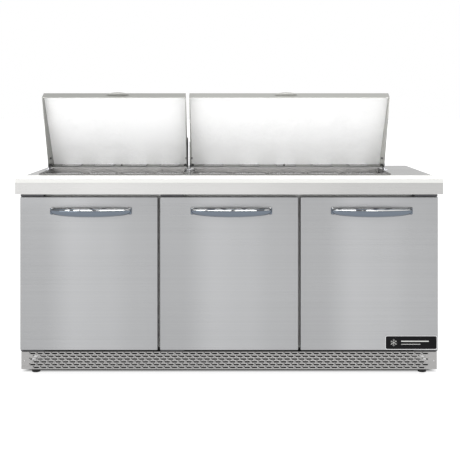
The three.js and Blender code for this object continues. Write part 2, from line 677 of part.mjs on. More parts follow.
// Top and bottom hinge brackets: a plate with a pin, on a tab fixed to the cabinet.
function doorHinges(index) {
  const edges = DOOR_EDGES[index];
  const side = DOOR_HINGE_SIDES[index];
  const { inset, width, plate, upperPlate, clear, nose, lowerTab, upperTab } = BRACKET;
  const pinX = pivotX(edges, side);
  const x = side < 0
    ? [edges[0] + inset, edges[0] + inset + width]
    : [edges[1] - inset - width, edges[1] - inset];
  const bracket = (end, plateZ, pinEnd, backing, tabZ) => {
    const tabY = [backing - GAP - plate, backing - GAP];
    const pinStart = (plateZ[0] + plateZ[1]) / 2;
    const shape = join(
      box(x, [DOOR.face + nose, tabY[1]], plateZ),
      box(x, tabY, tabZ),
      rod([pinX, PIVOT_Y, pinStart], [pinX, PIVOT_Y, pinEnd], PIN.radius),
    );
    return part(`hinge_${DOOR_NAMES[index]}_${end}`, shape, "galvanised");
  };
  const lower = [BASE.top - 0.6, DOOR.bottom - clear];
  const upper = [DOOR.top + clear, DOOR.top + clear + upperPlate];
  return [
    bracket("bottom", lower, DOOR.bottom + PIN.length, BASE.front, [BASE.top - lowerTab, lower[1]]),
    bracket("top", upper, DOOR.top - PIN.length, FRAME.front, [upper[0], upper[1] + upperTab]),
  ];
}

// ---------------------------------------------------------------- shelves

// Wire shelf: a rim with wires from front to back and one across, all in one plane.
function shelf(index) {
  const x = SHELF_SPANS[index];
  const { bottom, wire, bar, wires } = SHELF;
  const y = [SHELF.front, SHELF.back];
  const z = [bottom, bottom + wire];
  const rim = cut(box(x, y, z), box(grow(x, -wire), grow(y, -wire), grow(z, OVER)));
  const bars = spread(wires, ...x).map((at) => box(grow([at, at], bar / 2), grow(y, -1), grow(z, -1)));
  const cross = box(grow(x, -1), both(wire / 2), grow(z, -0.5));
  return part(`shelf_${DOOR_NAMES[index]}`, join(rim, ...bars, cross), "shelfCoating");
}

// ---------------------------------------------------------------- refrigeration

// A fan about the Z axis, its blades pitched the same way; hub from 0 to its length.
function fan(name, { mouth, hubRadius, hubLength, blades }) {
  const tip = mouth - FAN.tipClear;
  const root = hubRadius - FAN.tipClear;
  const hub = new THREE.CylinderGeometry(hubRadius, hubRadius, hubLength, 20)
    .rotateX(Math.PI / 2)
    .translate(0, 0, hubLength / 2);
  const pieces = Array.from({ length: blades }, (_, i) => {
    const blade = new THREE.BoxGeometry(tip - root, FAN.bladeWidth, FAN.bladeThickness);
    blade.rotateX(THREE.MathUtils.degToRad(FAN.bladePitch));
    blade.translate((tip + root) / 2, 0, hubLength / 2);
    return blade.rotateZ((i * 2 * Math.PI) / blades);
  });
  return part(name, join(hub, ...pieces), "blackPlastic");
}

// A coil block slotted right through along the air's path.
function finnedCoil(name, x, y, z, airAlong, slots) {
  const { halfWidth, margin, endPlate } = COIL_SLOT;
  const across = airAlong === "x" ? y : x;
  const height = grow(z, -endPlate);
  const openings = spread(slots, ...grow(across, -margin)).map((at) => {
    const gap = grow([at, at], halfWidth);
    return airAlong === "x" ? box(grow(x, OVER), gap, height) : box(gap, grow(y, OVER), height);
  });
  return part(name, cut(box(x, y, z), ...openings), "aluminium");
}

// Sheet housing with the fan's opening in front, the motor on a cross bar, open underneath.
function evaporator() {
  const { halfWidth, front, back, bottom, top } = EVAPORATOR;
  const { z: fanZ, mouth } = EVAPORATOR_FAN;
  const motor = EVAPORATOR_MOTOR;
  const shell = cut(
    box(both(halfWidth), [front, back], [bottom, top]),
    box(both(halfWidth - SHEET), grow([front, back], -SHEET), [bottom - OVER, top - SHEET]),
    rod([0, front - OVER, fanZ], [0, front + SHEET + OVER, fanZ], mouth, 32),
  );
  const barZ = grow([fanZ, fanZ], MOTOR_BAR.halfHeight);
  const crossBar = box(both(halfWidth - 1), [motor.back - MOTOR_BAR.depth, motor.back], barZ);
  const motorCan = rod([0, motor.front, fanZ], [0, motor.back, fanZ], motor.radius, 20);
  const blades = fan("evaporator_fan", EVAPORATOR_FAN);
  blades.rotation.x = Math.PI / 2;
  blades.position.set(0, motor.front - GAP, fanZ);
  const coilY = [EVAPORATOR_COIL.front, EVAPORATOR_COIL.back];
  const coilZ = [bottom + EVAPORATOR_COIL.lift, top - SHEET - GAP];
  const coil = finnedCoil(
    "evaporator_coil", both(EVAPORATOR_COIL.halfWidth), coilY, coilZ, "y", EVAPORATOR_COIL.slots);
  return [part("evaporator_housing", join(shell, crossBar, motorCan), "aluminium"), coil, blades];
}

// Condenser coil, then its shroud with motor and fan, all in the machine compartment.
function condensingUnit() {
  const { left, right, front, back, bottom, top } = CONDENSER;
  const { mouth } = CONDENSER_FAN;
  const y = [front, back];
  const z = [bottom, top];
  const coilEnd = left + CONDENSER.coil;
  const shroudStart = coilEnd + GAP;
  const middleY = (front + back) / 2;
  const middleZ = (bottom + top) / 2;
  const motor = CONDENSER_MOTOR;
  const shell = cut(
    box([shroudStart, right], y, z),
    box([shroudStart - OVER, right - SHEET], grow(y, -SHEET), grow(z, -SHEET)),
    rod([right - SHEET - OVER, middleY, middleZ], [right + OVER, middleY, middleZ], mouth, 32),
  );
  const barZ = grow([middleZ, middleZ], MOTOR_BAR.halfHeight);
  const crossBar = box([motor.left, motor.left + MOTOR_BAR.depth], grow(y, -1), barZ);
  const motorCan = rod([motor.left, middleY, middleZ], [motor.right, middleY, middleZ], motor.radius, 20);
  const blades = fan("condenser_fan", CONDENSER_FAN);
  blades.rotation.y = Math.PI / 2;
  blades.position.set(motor.right + GAP, middleY, middleZ);
  const coil = finnedCoil("condenser_coil", [left, coilEnd], y, z, "x", CONDENSER.slots);
  return [part("condenser_shroud", join(shell, crossBar, motorCan), "blackPaint"), coil, blades];
}

// A welded can on a round foot plate, standing on the tray.
function compressor() {
  const { height, y, foot, shoulder } = COMPRESSOR;
  const outline = [[0, 0], ...foot, ...shoulder.map(([r, drop]) => [r, height - drop]), [0, height]];
  const can = new THREE.LatheGeometry(outline.map(([r, h]) => new THREE.Vector2(r, h)), 24);
  const mesh = part("compressor", can.rotateX(Math.PI / 2), "blackPaint");
  mesh.position.set(PIPE.x, y, BASE.bottom + BASE.tray + GAP);
  return mesh;
}

// Suction line from the top of the compressor, up through the step, to the coil.
function refrigerantLine() {
  const start = BASE.bottom + BASE.tray + GAP + COMPRESSOR.height + GAP;
  const { x, y, radius, rise, bend, straight } = PIPE;
  const path = new THREE.CatmullRomCurve3([
    new THREE.Vector3(x, COMPRESSOR.y, start),
    new THREE.Vector3(x, COMPRESSOR.y + 1, start + rise),
    new THREE.Vector3(x, y - 2, STEP.z - bend),
    new THREE.Vector3(x, y, STEP.z + straight[0]),
    new THREE.Vector3(x, y, STEP.z + straight[1]),
    new THREE.Vector3(x, y, EVAPORATOR.bottom + EVAPORATOR_COIL.lift - GAP),
  ]);
  const section = new THREE.Shape();
  section.absarc(0, 0, radius, 0, 2 * Math.PI);
  const tube = new THREE.ExtrudeGeometry(section, { steps: 24, curveSegments: 5, extrudePath: path });
  return part("refrigerant_line", tube, "copper");
}

function temperatureController() {
  const wallX = CASE.halfWidth - SHEET - GAP - WALL - GAP;
  const shape = box([wallX - CONTROLLER.width, wallX], CONTROLLER.y, CONTROLLER.z);
  return part("temperature_controller", shape, "blackPlastic");
}

// ---------------------------------------------------------------- assembly

const table = new THREE.Group();
table.add(
  ...feet(),
  baseFrame(),
  kickGrille(),
  outerCase(),
  innerLiner(),
  frontFrame(),
  worktop(),
  cuttingBoard(),
  rearCover(),
  powerInlet(),
  panWell(),
  ...lidHinges(),
  ...evaporator(),
  ...condensingUnit(),
  compressor(),
  refrigerantLine(),
  temperatureController(),
  badge(),
);
for (const side of Object.keys(WELLS)) {
  table.add(panBar(side), panRow(side, 0), panRow(side, 1), lid(side));
}
for (let index = 0; index < DOOR_NAMES.length; index += 1) {
  table.add(...door(index), ...doorHinges(index), shelf(index));
}

export default table;
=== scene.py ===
import math

import bmesh
import bpy
from mathutils import Matrix, Vector


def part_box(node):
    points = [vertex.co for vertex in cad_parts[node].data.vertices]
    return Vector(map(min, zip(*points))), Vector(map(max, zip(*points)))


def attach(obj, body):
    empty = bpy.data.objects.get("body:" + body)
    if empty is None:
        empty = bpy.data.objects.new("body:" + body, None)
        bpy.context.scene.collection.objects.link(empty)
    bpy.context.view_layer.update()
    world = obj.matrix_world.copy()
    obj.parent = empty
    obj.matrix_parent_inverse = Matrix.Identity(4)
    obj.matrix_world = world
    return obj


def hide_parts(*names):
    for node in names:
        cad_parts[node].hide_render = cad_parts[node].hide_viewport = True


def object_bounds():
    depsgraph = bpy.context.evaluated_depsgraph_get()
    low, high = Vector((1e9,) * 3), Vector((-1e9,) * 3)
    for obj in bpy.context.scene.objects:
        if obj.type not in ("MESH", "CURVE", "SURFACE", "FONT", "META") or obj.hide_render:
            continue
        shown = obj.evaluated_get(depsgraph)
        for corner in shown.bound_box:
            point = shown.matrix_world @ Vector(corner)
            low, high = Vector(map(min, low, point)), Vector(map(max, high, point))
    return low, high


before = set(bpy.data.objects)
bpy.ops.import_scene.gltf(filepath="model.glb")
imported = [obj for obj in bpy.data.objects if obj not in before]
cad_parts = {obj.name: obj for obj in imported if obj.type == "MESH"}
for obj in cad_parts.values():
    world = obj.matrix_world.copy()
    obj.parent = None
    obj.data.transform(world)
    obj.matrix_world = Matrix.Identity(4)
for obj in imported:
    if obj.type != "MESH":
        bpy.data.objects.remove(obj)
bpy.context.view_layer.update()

MM = 0.001
TABLE_LOW, TABLE_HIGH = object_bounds()
SIDES = ("left", "right")
DOORS = ("left", "middle", "right")


# ---------------------------------------------------------------- camera, floor and light

CAMERA = {
    "in_front": 4221 * MM, "height": 1194.6 * MM, "lens": 77.35, "sensor": 36, "shift": (0.002, -0.279)}
WORLD = {"dims_from": 0.5, "edge": 0.8}  # where the white starts to dim sideways, and what is left
FLOOR = {
    "tone": (0.3, 0.3, 0.3), "roughness": 0.9, "half_size": 60,
    "glow": 0.9, "tuck": 60 * MM, "fade": 20 * MM,  # the glow, how far it reaches under the table, and its soft edge
}


def make_camera():
    """Level, straight in front, at a standing person's eye; the shift keeps the sides upright."""
    camera = bpy.data.objects.new("camera", bpy.data.cameras.new("camera"))
    camera.location = (0, TABLE_LOW.y - CAMERA["in_front"], CAMERA["height"])
    camera.rotation_euler = (math.pi / 2, 0, 0)
    camera.data.lens = CAMERA["lens"]
    camera.data.sensor_width = CAMERA["sensor"]
    camera.data.shift_x, camera.data.shift_y = CAMERA["shift"]
    bpy.context.scene.collection.objects.link(camera)
    bpy.context.scene.camera = camera


def area_light(name, place, target, size, power):
    """A soft rectangular light, which the camera doesn't see, from a place towards a target."""
    lamp = bpy.data.lights.new(name, "AREA")
    lamp.shape = "RECTANGLE"
    lamp.size, lamp.size_y = size
    lamp.energy = power
    obj = bpy.data.objects.new(name, lamp)
    obj.visible_camera = False
    obj.location = place
    obj.rotation_euler = (Vector(target) - Vector(place)).to_track_quat("-Z", "Y").to_euler()
    bpy.context.scene.collection.objects.link(obj)


def make_world():
    """A white studio, a little darker far out to the sides."""
    world = bpy.data.worlds.new("studio")
    bpy.context.scene.world = world
    world.use_nodes = True
    tree = world.node_tree
    sideways = combined(tree, "ABSOLUTE", coordinates(tree, "Generated")["X"], 0)
    white = ranged(tree, sideways, WORLD["dims_from"], 1.0, 1.0, WORLD["edge"])
    tree.links.new(white, tree.nodes["Background"].inputs["Color"])


def make_floor():
    """A pale lit floor that glows all round the table, but not beneath it."""
    material, tree, bsdf = shader("floor", FLOOR["tone"], FLOOR["roughness"])
    low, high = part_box("base_frame")
    place = coordinates(tree, "Object")
    beside = combined(tree, "SUBTRACT", combined(tree, "ABSOLUTE", place["X"], 0), high.x)
    from_middle = combined(tree, "SUBTRACT", place["Y"], (low.y + high.y) / 2)
    from_middle = combined(tree, "ABSOLUTE", from_middle, 0)
    before = combined(tree, "SUBTRACT", from_middle, (high.y - low.y) / 2 - FLOOR["tuck"])
    outside = combined(tree, "MAXIMUM", beside, before)
    cloud = between(tree, noise(tree, (0.5, 0.5, 0.5), 2.0), 0.99, 1.01)
    tinted(tree, bsdf, FLOOR["tone"], cloud)
    glow = ranged(tree, outside, -FLOOR["fade"], FLOOR["fade"], 0.0, FLOOR["glow"])
    tree.links.new(glow, bsdf.inputs["Emission Strength"])
    bsdf.inputs["Emission Color"].default_value = (1, 1, 1, 1)
    bm = bmesh.new()
    bmesh.ops.create_grid(bm, x_segments=1, y_segments=1, size=FLOOR["half_size"])
    mesh = bpy.data.meshes.new("floor")
    bm.to_mesh(mesh)
    bm.free()
    mesh.materials.append(material)
    obj = bpy.data.objects.new("floor", mesh)
    bpy.context.scene.collection.objects.link(obj)


# ---------------------------------------------------------------- materials

def shader(name, colour, roughness, metallic=0.0):
    """A new material with its node tree and its Principled shader."""
    material = bpy.data.materials.new(name)
    material.use_nodes = True
    tree = material.node_tree
    bsdf = tree.nodes["Principled BSDF"]
    bsdf.inputs["Base Color"].default_value = (*colour, 1)
    bsdf.inputs["Roughness"].default_value = roughness
    bsdf.inputs["Metallic"].default_value = metallic
    return material, tree, bsdf


def coordinates(tree, source):
    """The X, Y and Z outputs of a texture coordinate."""
    place = tree.nodes.new("ShaderNodeTexCoord")
    apart = tree.nodes.new("ShaderNodeSeparateXYZ")
    tree.links.new(place.outputs[source], apart.inputs[0])
    return apart.outputs


def noise(tree, stretch, detail=3.0):
    """Noise in the piece's own space, in metres, drawn out along the axes with a small stretch."""
    place = tree.nodes.new("ShaderNodeTexCoord")
    mapping = tree.nodes.new("ShaderNodeMapping")
    mapping.inputs["Scale"].default_value = stretch
    made = tree.nodes.new("ShaderNodeTexNoise")
    made.inputs["Scale"].default_value = 1
    made.inputs["Detail"].default_value = detail
    tree.links.new(place.outputs["Object"], mapping.inputs["Vector"])
    tree.links.new(mapping.outputs["Vector"], made.inputs["Vector"])
    return made.outputs["Fac"]


def ranged(tree, value, from_low, from_high, low, high):
    """Maps a value from one range to another, and holds it at the ends."""
    made = tree.nodes.new("ShaderNodeMapRange")
    made.inputs["From Min"].default_value = from_low
    made.inputs["From Max"].default_value = from_high
    made.inputs["To Min"].default_value = low
    made.inputs["To Max"].default_value = high
    tree.links.new(value, made.inputs["Value"])
    return made.outputs[0]


def between(tree, factor, low, high):
    """Turns a noise of about 0.3 to 0.7 into a value from low to high."""
    return ranged(tree, factor, 0.3, 0.7, low, high)


def graded(tree, source, axis, span, stops):
    """A factor that follows (share, value) stops from one end of a span to the other."""
    ramp = tree.nodes.new("ShaderNodeValToRGB")
    ramp.color_ramp.interpolation = "EASE"
    elements = ramp.color_ramp.elements
    for element, (share, value) in zip((elements[0], elements[1]), (stops[0], stops[-1])):
        element.position, element.color = share, (value, value, value, 1)
    for share, value in stops[1:-1]:
        elements.new(share).color = (value, value, value, 1)
    tree.links.new(ranged(tree, coordinates(tree, source)[axis], *span, 0, 1), ramp.inputs["Fac"])
    return ramp.outputs["Color"]


def combined(tree, operation, first, second):
    """One step of arithmetic on two values, each a number or a socket."""
    made = tree.nodes.new("ShaderNodeMath")
    made.operation = operation
    for socket, value in zip(made.inputs, (first, second)):
        if isinstance(value, (int, float)):
            socket.default_value = value
        else:
            tree.links.new(value, socket)
    return made.outputs[0]


def mixed(tree, base, over, factor):
    """A colour that goes from base, a colour or a socket, to the colour over."""
    mix = tree.nodes.new("ShaderNodeMix")
    mix.data_type = "RGBA"
    tree.links.new(factor, mix.inputs["Factor"])
    if isinstance(base, tuple):
        mix.inputs["A"].default_value = (*base, 1)
    else:
        tree.links.new(base, mix.inputs["A"])
    mix.inputs["B"].default_value = (*over, 1)
    return mix.outputs["Result"]


def tinted(tree, bsdf, colour, factor):
    """The base colour, multiplied by a factor that varies over the surface."""
    mix = tree.nodes.new("ShaderNodeVectorMath")
    mix.operation = "SCALE"
    mix.inputs[0].default_value = colour
    tree.links.new(factor, mix.inputs["Scale"])
    tree.links.new(mix.outputs[0], bsdf.inputs["Base Color"])


def bumped(tree, bsdf, height, distance, strength=1.0):
    """A bump map from a height between 0 and 1, for grain too fine to be geometry."""
    bump = tree.nodes.new("ShaderNodeBump")
    bump.inputs["Distance"].default_value = distance
    bump.inputs["Strength"].default_value = strength
    tree.links.new(height, bump.inputs["Height"])
    tree.links.new(bump.outputs[0], bsdf.inputs["Normal"])


BAND_SHARE = 0.12  # how close the coarse bands of brushed metal lie, beside its fine lines
WIPE_STRETCH, WIPE_SHARE = (3.1, 3.1, 4.3), 0.6


def brushed(name, colour, roughness, lines, depth=0.05, contrast=0.035, grades=(), metallic=1.0):
    """Sheet metal: fine lines, coarser bands along the same way, and faint wiping marks, times any grades of painted
    light and shade.
    """
    material, tree, bsdf = shader(name, colour, roughness, metallic)
    fine = noise(tree, lines)
    bands = noise(tree, [value * BAND_SHARE for value in lines], 2.0)
    wiped = noise(tree, WIPE_STRETCH, 4.0)
    lined = [between(tree, made, -contrast, contrast) for made in (fine, bands)]
    uneven = between(tree, wiped, 1 - contrast * WIPE_SHARE, 1 + contrast * WIPE_SHARE)
    shade = combined(tree, "ADD", combined(tree, "ADD", *lined), uneven)
    for grade in grades:
        shade = combined(tree, "MULTIPLY", shade, graded(tree, *grade))
    tinted(tree, bsdf, colour, shade)
    rough = combined(tree, "ADD", between(tree, fine, -0.05, 0.05), between(tree, wiped, -0.04, 0.04))
    tree.links.new(combined(tree, "ADD", rough, roughness), bsdf.inputs["Roughness"])
    bumped(tree, bsdf, fine, depth * MM)
    return material


# Grey of the painted floor reflection on the chrome's underside.
FLOOR_REFLECTION_GREY = (0.2, 0.205, 0.21)


def chromed(name, body, bright, dark_reflection):
    """Polished chrome with its reflections painted into the base colour: a dull blue front, a painted highlight on
    the top slope with painted black reflection lines, and a grey underside as a painted floor reflection.
    """
    material, tree, bsdf = shader(name, body, 0.07, 1.0)
    # Painted reflections chosen by the normal's Z: a painted highlight on faces turned up, painted black reflection
    # lines across it, and a painted floor reflection on faces turned down.
    reflection_streaks = ranged(tree, noise(tree, (26, 60, 60), 1.0), 0.53, 0.58, 0, 1)
    smears = noise(tree, (38, 90, 160), 3.0)
    highlight_mask, reflection_band, floor_reflection_mask = (graded(tree, "Normal", "Z", (-1, 1), stops) for stops in (
        ((0, 0), (0.58, 0.02), (0.7, 1), (1, 1)),
        ((0, 0), (0.6, 0), (0.7, 1), (0.92, 0.8), (1, 0)),
        ((0, 0.8), (0.18, 0.5), (0.3, 0), (1, 0)),
    ))
    colour = mixed(tree, body, bright, highlight_mask)
    colour = mixed(tree, colour, dark_reflection, combined(tree, "MULTIPLY", reflection_streaks, reflection_band))
    colour = mixed(tree, colour, FLOOR_REFLECTION_GREY, floor_reflection_mask)
    tree.links.new(colour, bsdf.inputs["Base Color"])
    tree.links.new(between(tree, smears, 0.04, 0.12), bsdf.inputs["Roughness"])
    bumped(tree, bsdf, smears, 0.004 * MM)
    return material


def moulded(name, colour, roughness, grain=900, depth=0.05, contrast=0.03):
    """Plastic or rubber with a fine texture from the mould and a slightly uneven colour."""
    material, tree, bsdf = shader(name, colour, roughness)
    texture = noise(tree, (grain, grain, grain), 2.0)
    patches = noise(tree, (14, 14, 14), 4.0)
    tinted(tree, bsdf, colour, between(tree, patches, 1 - contrast, 1 + contrast))
    rough = combined(tree, "ADD", between(tree, patches, -0.05, 0.05), roughness)
    tree.links.new(rough, bsdf.inputs["Roughness"])
    bumped(tree, bsdf, texture, depth * MM)
    return material


def cut_board(name, colour, roughness):
    """Polyethylene with long faint knife marks, mostly from side to side, and painted shade on its upright faces."""
    material, tree, bsdf = shader(name, colour, roughness)
    marks = noise(tree, (9, 420, 420), 5.0)
    cross = noise(tree, (380, 12, 380), 5.0)
    cloud = noise(tree, (4, 9, 9), 3.0)
    scratch = combined(tree, "MAXIMUM", marks, cross)
    uneven = between(tree, cloud, 0.985, 1.01)
    shade = combined(tree, "MULTIPLY", between(tree, scratch, 1.0, 0.985), uneven)
    # Painted shade: faces that don't face up, such as the front, are darker than the top.
    sides = graded(tree, "Normal", "Z", (0, 1), ((0, 0.92), (1, 1)))
    tinted(tree, bsdf, colour, combined(tree, "MULTIPLY", shade, sides))
    tree.links.new(between(tree, marks, roughness - 0.08, roughness + 0.1), bsdf.inputs["Roughness"])
    bumped(tree, bsdf, scratch, 0.12 * MM, 0.6)
    bsdf.inputs["Subsurface Weight"].default_value = 0.05
    bsdf.inputs["Subsurface Radius"].default_value = (4 * MM, 4 * MM, 4 * MM)
    return material


ACROSS = (2.5, 2.5, 1100)  # lines run level on upright faces
ALONG = (2.5, 1100, 1100)  # lines run from side to side on flat and front faces
DOWN = (900, 900, 2.5)  # lines run up and down

# Painted sheen on the doors: each door is lighter in a soft band left of its middle and towards its top, standing
# for the light on the sheet.
DOOR_PAINTED_SHEEN = (
    ("Generated", "X", (0, 1), ((0, 0.83), (0.15, 0.84), (0.4, 1), (0.62, 0.965), (0.85, 0.89), (1, 0.87))),
    ("Generated", "Z", (0, 1), ((0, 0.94), (0.5, 0.95), (0.9, 0.965), (1, 1))),
)
# Each grade below is painted light and shade, over a span in metres or over the way a face looks: it darkens where
# shade falls and lightens a bright edge.
# Painted light on the worktop: lighter left of the middle, darker towards the right end, and darker on faces turned
# upwards.
TOP_PAINTED_LIGHT = (
    ("Object", "X", (TABLE_LOW.x, TABLE_HIGH.x), (
        (0, 0.9), (0.06, 0.93), (0.2, 1), (0.5, 0.96), (0.67, 0.875), (0.81, 0.81), (1, 0.785))),
    ("Normal", "Z", (0, 1), ((0, 1), (0.6, 0.9), (1, 0.62))),
)
HOODS_X = (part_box("lid_left_shell")[0].x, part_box("lid_right_shell")[1].x)
# Painted shade on the hoods: darker towards the left end, darkest low down where the rear wall is, and darker on
# faces turned to the right and on faces turned straight up.
HOOD_PAINTED_SHADE = (
    ("Object", "X", HOODS_X, ((0, 0.82), (0.4, 0.9), (0.45, 1.02), (1, 1))),
    ("Object", "Z", (0.874, 1.1), ((0, 0.5), (0.09, 0.9), (0.14, 1), (1, 0.87))),
    ("Normal", "X", (-1, 1), ((0, 1), (0.3, 1), (0.7, 1), (1, 0.72))),
    ("Normal", "Z", (0, 1), ((0, 1), (0.9, 1), (0.95, 0.8), (1, 0.6))),
)
# Painted shade: the hood liners darken towards their tops.
LINER_PAINTED_SHADE = (("Object", "Z", (0.885, 1.23), ((0, 1), (0.3, 1), (0.55, 0.96), (1, 0.9))),)
# Painted light: the hood brackets are five times lighter low down, at the deck's level, than in the shade above.
BRACKET_PAINTED_LIGHT = (("Object", "Z", (0.864, 0.88), ((0, 5), (0.5, 5), (1, 1))),)
# Painted shade: the hood louvres' lips are nearly black except on faces turned upwards.
LOUVRE_PAINTED_SHADE = (("Normal", "Z", (0, 1), ((0, 0.05), (0.8, 0.08), (0.95, 0.4), (1, 1))),)
# Painted light on the front frame: full only in the strip that shows under the nosing, darker below it.
FRAME_PAINTED_LIGHT = (("Object", "Z", (0.765, 0.782), ((0, 0.62), (1, 1))),)
# Painted shade: the base frame's front part is nearly black, so the grille's slots look into shade.
BASE_PAINTED_SHADE = (("Object", "Y", (-0.35, -0.25), ((0, 0.06), (0.6, 0.06), (1, 1))),)
# Painted shade: the pan well is darker at its front.
WELL_PAINTED_SHADE = (("Object", "Y", (-0.215, -0.2), ((0, 0.4), (1, 1))),)

# Painted shade: the hinges, the hood brackets, the hems and the hinge screws are near-black, standing for the shade
# they sit in under the nosing and between the hoods.
PAINTED_SHADE_STEEL = (0.1, 0.1, 0.105)

MATERIALS = {
    "door_steel": brushed("door_steel", (0.447, 0.451, 0.459), 0.33, ALONG, 0.05, 0.022, DOOR_PAINTED_SHEEN),
    "case_steel": brushed("case_steel", (0.5, 0.505, 0.51), 0.38, ACROSS),
    # Painted light: the front frame is lighter than the other steel, to lift the shade under the nosing.
    "frame_steel": brushed("frame_steel", (0.86, 0.86, 0.845), 0.5, ALONG, 0.04, 0.03, FRAME_PAINTED_LIGHT, 0.7),
    "top_steel": brushed("top_steel", (0.62, 0.616, 0.608), 0.3, ALONG, 0.04, 0.015, TOP_PAINTED_LIGHT),
    "well_steel": brushed("well_steel", (0.165, 0.162, 0.158), 0.34, ALONG, grades=WELL_PAINTED_SHADE),
    "hood_steel": brushed("hood_steel", (0.6, 0.6, 0.572), 0.42, ALONG, grades=HOOD_PAINTED_SHADE),
    "hood_liner": brushed("hood_liner", (0.985, 0.985, 0.985), 0.3, DOWN, 0.01, 0.004, LINER_PAINTED_SHADE, 0.15),
    "pan_steel": brushed("pan_steel", (0.42, 0.425, 0.43), 0.28, (60, 60, 60), 0.02),
    # Chrome with painted reflections: a dull blue front, a near-white painted highlight and near-black painted
    # reflection lines.
    "chrome": chromed("chrome", (0.14, 0.165, 0.2), (0.98, 0.98, 0.97), (0.02, 0.02, 0.025)),
    "grille_steel": brushed("grille_steel", (0.355, 0.35, 0.345), 0.3, ALONG),
    "screw_steel": brushed("screw_steel", (0.6, 0.6, 0.6), 0.25, (300, 300, 300)),
    "bright_edge": brushed("bright_edge", (0.75, 0.75, 0.76), 0.25, (200, 200, 200), 0.01, 0.01),
    "galvanised": brushed("galvanised", (0.36, 0.37, 0.375), 0.46, (38, 38, 38), 0.02, 0.09),
    "base_steel": brushed("base_steel", (0.36, 0.37, 0.375), 0.5, (38, 38, 38), 0.02, 0.09, BASE_PAINTED_SHADE),
    "hinge_steel": brushed("hinge_steel", PAINTED_SHADE_STEEL, 0.45, (200, 200, 200), 0.03, 0.05),
    "bracket_steel": brushed("bracket_steel", PAINTED_SHADE_STEEL, 0.45, (200, 200, 200), 0.03, 0.05, BRACKET_PAINTED_LIGHT),
    "louvre_steel": brushed("louvre_steel", (0.95, 0.95, 0.95), 0.35, ALONG, 0.01, 0.01, LOUVRE_PAINTED_SHADE, 0.3),
    "aluminium": brushed("aluminium", (0.66, 0.67, 0.68), 0.42, (30, 30, 700)),
    "copper": brushed("copper", (0.72, 0.36, 0.2), 0.3, (80, 80, 80), 0.02, 0.1),
    "board": cut_board("board", (0.765, 0.765, 0.74), 0.42),
    "liner": moulded("liner", (0.74, 0.75, 0.75), 0.45, 500),
    "gasket": moulded("gasket", (0.16, 0.165, 0.17), 0.6, 700),
    "black_rubber": moulded("black_rubber", (0.012, 0.012, 0.012), 0.7, 500, 0.12, 0.2),
    "black_plastic": moulded("black_plastic", (0.012, 0.012, 0.013), 0.35, 1200, 0.03, 0.15),
    "badge_face": moulded("badge_face", (0.004, 0.004, 0.005), 0.5, 1200, 0.01, 0.15),
    "black_paint": moulded("black_paint", (0.02, 0.021, 0.024), 0.42, 260, 0.1, 0.2),
    "shelf_coating": moulded("shelf_coating", (0.78, 0.785, 0.77), 0.4, 300, 0.08),
    "print_white": moulded("print_white", (0.6, 0.6, 0.585), 0.4, 900, 0.02),
}
# The badge is nearly without gloss; the hoods' liners have a bright film over the brushing.
for material, settings in (
    ("badge_face", {"Specular IOR Level": 0.12}),
    ("hood_liner", {"Coat Weight": 0.4, "Coat IOR": 1.9, "Coat Roughness": 0.03}),
):
    for setting, value in settings.items():
        MATERIALS[material].node_tree.nodes["Principled BSDF"].inputs[setting].default_value = value


# ---------------------------------------------------------------- mesh helpers

def add_piece(name, bm, material, body, replaces=(), smooth_angle=35):
    """Turns a bmesh into a piece that rides on a body and may stand for CAD nodes."""
    bmesh.ops.recalc_face_normals(bm, faces=bm.faces)
    mesh = bpy.data.meshes.new(name)
    bm.to_mesh(mesh)
    bm.free()
    mesh.shade_smooth()
    mesh.set_sharp_from_angle(angle=math.radians(smooth_angle))
    mesh.materials.append(MATERIALS[material])
    obj = bpy.data.objects.new(name, mesh)
    bpy.context.scene.collection.objects.link(obj)
    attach(obj, body)
    if replaces:
        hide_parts(*replaces)
    return obj


def finish_node(name, material, bevel=0.0):
    """Gives a CAD node its material and, where the sheet is thick enough, softened edges."""
    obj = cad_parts[name]
    if not obj.data.materials:
        obj.data.materials.append(None)
    for index in range(len(obj.data.materials)):
        obj.data.materials[index] = MATERIALS[material]
    if bevel:
        modifier = obj.modifiers.new("edges", "BEVEL")
        modifier.width = bevel
        modifier.segments = 2
        modifier.limit_method = "ANGLE"
        modifier.angle_limit = math.radians(40)
        modifier.harden_normals = True


def from_to(ends, share):
    """The value at a share of the way between two ends."""
    return ends[0] + (ends[1] - ends[0]) * share


def loft(bm, loops, caps=(True, True)):
    """Skins a row of closed loops of equally many points."""
    rows = [[bm.verts.new(point) for point in loop] for loop in loops]
    count = len(rows[0])
    for low, high in zip(rows, rows[1:]):
        for i in range(count):
            j = (i + 1) % count
            bm.faces.new((low[i], low[j], high[j], high[i]))
    if caps[0]:
        bm.faces.new(list(reversed(rows[0])))
    if caps[1]:
        bm.faces.new(rows[-1])


def rounded_rectangle(x0, x1, y0, y1, radius, steps=5):
    """Points of a rounded rectangle, anticlockwise from the right end of its lower side."""
    corners = ((x1 - radius, y0 + radius, -90), (x1 - radius, y1 - radius, 0),
               (x0 + radius, y1 - radius, 90), (x0 + radius, y0 + radius, 180))
    points = []
    for cx, cy, start in corners:
        for i in range(steps + 1):
            angle = math.radians(start + 90 * i / steps)
            points.append((cx + radius * math.cos(angle), cy + radius * math.sin(angle)))
    return points


def rounded_box(bm, low, high, radius, segments=3):
    """A block with every edge rounded."""
    low, high = Vector(low), Vector(high)
    size = high - low
    place = Matrix.Translation((low + high) / 2) @ Matrix.Diagonal((*size, 1))
    made = bmesh.ops.create_cube(bm, size=1, matrix=place)
    edges = {edge for vert in made["verts"] for edge in vert.link_edges}
    if radius:
        bmesh.ops.bevel(
            bm, geom=list(edges), offset=radius, segments=segments, profile=0.5, affect="EDGES")


WELD = 1e-6  # in metres; points nearer than this are one point


